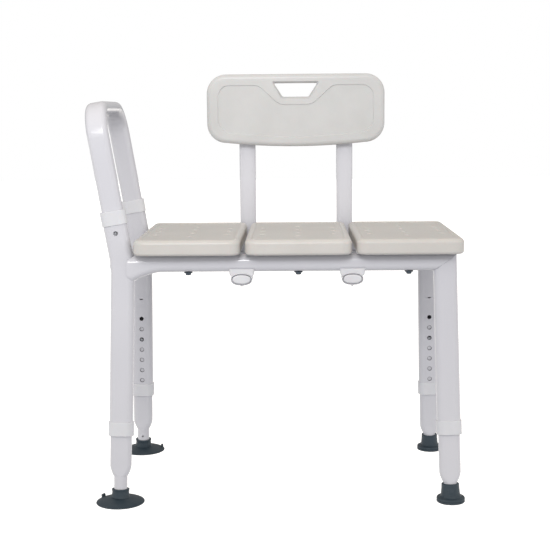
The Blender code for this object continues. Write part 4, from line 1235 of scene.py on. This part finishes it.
# === Backrest panel ===
# A blow-moulded shell with a hand slot near the top, its lower edge bowed downwards, and a
# shallow sunken field that dips round the slot. Screwed to the two uprights.
BACK_CORNER = 0.045
BACK_BOW = 0.009
BACK_ROUND = (0.0110, 0.0078)
FIELD_SINK = 0.0019
SLOT_SOFT = 0.0035
SLOT_Z = -0.0372
SLOT_HALF = (0.041, 0.0158)
SLOT_CORNERS = ((-0.051, -0.0215), (-0.0305, -0.0530), (0.0305, -0.0530), (0.051, -0.0215))
FIELD_SOFT = 0.012
FIELD_Z = -0.088
FIELD_HALF = (0.18, 0.06)
FIELD_CORNERS = ((0.0, -0.148), (0.161, -0.137), (0.182, -0.115), (0.182, -0.043),
                 (0.166, -0.027), (0.087, -0.027), (0.038, -0.071))

BACK = moulded("backrest_plastic", ((11.0, 5.0), 280.0, 640.0),
               ((0.508, 0.509, 0.503), (0.541, 0.542, 0.538)),
               (0.473, 0.473, 0.465), 0.25, (24.0, 0.0005))


def softened(outline, radius, steps=6):
    """A closed polygon with each corner replaced by an arc-like curve."""
    smooth = []
    count = len(outline)
    for i in range(count):
        before, here, after = (Vector(outline[(i + k) % count]) for k in (-1, 0, 1))
        a, b = (there - here for there in (before, after))
        a, b = (arm.normalized() * min(radius, arm.length * 0.49) for arm in (a, b))
        for k in range(steps + 1):
            s = k / steps
            point = (here + a) * (1 - s) ** 2 + here * 2 * s * (1 - s) + (here + b) * s * s
            smooth.append(tuple(point))
    return smooth


low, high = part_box("backrest_panel")
width, deep = high[0] - low[0], high[1] - low[1]
height = high[2] - low[2] - BACK_BOW
origin = Vector(((low[0] + high[0]) / 2, low[1], high[2] - height / 2))
across, inward = BACK_ROUND
levels = [(across * (1 - s), inward * (1 - c)) for s, c in quarter(7)]
levels += [(inset, deep - z) for inset, z in reversed(levels)]
loops = []
for inset, depth in levels:
    outline = rounded(width - 2 * inset, height - 2 * inset, BACK_CORNER - inset, 12, BACK_BOW)
    loops.append([origin + Vector((x, depth, z)) for x, z in outline])
draft = loft(loops)


def recess(outline, centre_z, half, steps):
    """A cutter whose outline, measured from the panel's top, grows by each step's amount."""
    loops = []
    for grow, y in steps:
        wider, taller = (1 + grow / size for size in half)
        spots = [(x * wider, centre_z + (z - centre_z) * taller) for x, z in outline]
        loops.append([origin + Vector((x, y, height / 2 + z)) for x, z in spots])
    return loft(loops)


mouth = ((0.0060, -0.002), (0.0030, 0.0016), (0.0008, 0.0040), (0.0, 0.0065))
steps = [*mouth, *((grow, deep - y) for grow, y in reversed(mouth))]
shaped(draft, recess(softened(SLOT_CORNERS, SLOT_SOFT), SLOT_Z, SLOT_HALF, steps))
corners = [*FIELD_CORNERS, *((-x, z) for x, z in reversed(FIELD_CORNERS[1:]))]
steps = ((0.0022, -0.0040), (0.0016, 0.0), (0.0009, FIELD_SINK * 0.6), (-0.0004, FIELD_SINK))
shaped(draft, recess(softened(corners, FIELD_SOFT, 8), FIELD_Z, FIELD_HALF, steps))
cutters = []
for side in ("left", "right"):
    for level in ("lower", "upper"):
        spot = middle(f"{side}_{level}_backrest_screw")
        way = Matrix.Translation((spot.x, high[1], spot.z)) @ Matrix.Rotation(pi / 2, 4, "X")
        cutters.append(bore(SCREW_WAY, (-0.004, 0.0165), 20, way))
shaped(draft, joined(cutters))
piece = settle(draft, "back_panel_shell", BACK, sharp=44)
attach(piece, "backrest")
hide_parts("backrest_panel")

# === Floor, light and camera ===
# A plain pale floor, low enough for the feet when the legs are fully drawn out, a soft white
# surround that is brighter in front, a narrow softbox aimed high and a weak strip on each side.
FLOOR_HALF = 14.0
LEG_REACH = 0.1020
WHITE = (1.0, 1.0, 1.0)
SIDE_GLOW = (0.74, 0.74, 0.74)
FRONT_GLOW = (1.48, 1.48, 1.48)
GLOW_BY_RISE = ((0.0, (0.26, 0.26, 0.27)), (0.42, (0.42, 0.42, 0.43)), (0.52, (0.72, 0.72, 0.73)),
                (0.70, (0.72, 0.70, 0.68)), (1.0, (0.74, 0.69, 0.63)))
CAMERA_AT = (0.03936, -2.6499, 0.81489)
CAMERA_TILT = 0.1342
CAMERA_TURN = 0.01593
CAMERA_ROLL = -0.00864
LENS = 78.545

bm = bmesh.new()
bmesh.ops.create_grid(bm, x_segments=6, y_segments=6, size=FLOOR_HALF)
floor = meshed(bm, "studio_floor")
floor.location = (0, 0, cad_box[0][2] - LEG_REACH)
floor.visible_diffuse = False
t, spot, feed = new_finish(
    "pale_floor", Roughness=0.9, Specular_IOR_Level=0.1, Emission_Strength=0.62
)
shade = t.noise(spot, 2.0)
floor.data.materials.append(feed(
    Base_Color=shade.blend((0.90, 0.90, 0.90), (0.93, 0.93, 0.93)),
    Emission_Color=shade.blend(WHITE, (0.99, 0.99, 0.99)),
))

world = bpy.data.worlds.new("studio_surround")
world.use_nodes = True
bpy.context.scene.world = world
w = Value(world.node_tree)
direction = w.node("ShaderNodeTexCoord", (), (), 0)
rise = w.node("ShaderNodeSeparateXYZ", (), {0: direction}, 2) * 0.5 + 0.5
ahead = w.node("ShaderNodeSeparateXYZ", (), {0: direction}, 1) * -0.5 + 0.5
glow = w.node("ShaderNodeValToRGB", {"stops": GLOW_BY_RISE}, {0: rise})
share = ahead.between(0.1, 0.8).blend(SIDE_GLOW, FRONT_GLOW)
glow = w.node("ShaderNodeVectorMath", {"operation": "MULTIPLY"}, {0: glow, 1: share})
shown = w.node("ShaderNodeLightPath").blend(glow, WHITE)
background = world.node_tree.nodes["Background"]
world.node_tree.links.new(shown.socket, background.inputs["Color"])


def soft_light(name, where, target, size, watts, spread=180):
    data = bpy.data.lights.new(name, "AREA")
    data.shape = "RECTANGLE"
    data.size, data.size_y = size
    data.energy = watts
    data.spread = radians(spread)
    lamp = in_scene(name, data)
    lamp.location = where
    lamp.rotation_euler = (Vector(target) - Vector(where)).to_track_quat("-Z", "Y").to_euler()


soft_light("front_softbox", (-0.3, -2.2, 1.7), (-0.15, 0, 1.1), (0.9, 0.5), watts=3.6, spread=65)
soft_light("left_strip", (-2.7, -1.5, 1.25), (0, 0, 0.6), (0.4, 1.4), watts=5.5)
soft_light("right_strip", (2.8, -1.2, 1.25), (0, 0, 0.5), (0.6, 1.4), watts=4.0)

camera_data = bpy.data.cameras.new("view_camera")
camera_data.lens = LENS
camera_data.sensor_width = 36.0
camera_data.clip_end = 100.0
camera = in_scene("view_camera", camera_data)
look = Vector((-sin(CAMERA_TURN) * cos(CAMERA_TILT),
               cos(CAMERA_TURN) * cos(CAMERA_TILT), -sin(CAMERA_TILT)))
right = Vector((cos(CAMERA_TURN), sin(CAMERA_TURN), 0))
above = right.cross(look)
level = right * cos(CAMERA_ROLL) + above * sin(CAMERA_ROLL)
plumb = above * cos(CAMERA_ROLL) - right * sin(CAMERA_ROLL)
turn = Matrix((level, plumb, -look)).transposed().to_4x4()
camera.matrix_world = Matrix.Translation(CAMERA_AT) @ turn
bpy.context.scene.camera = camera
bpy.context.scene.view_settings.view_transform = "Standard"
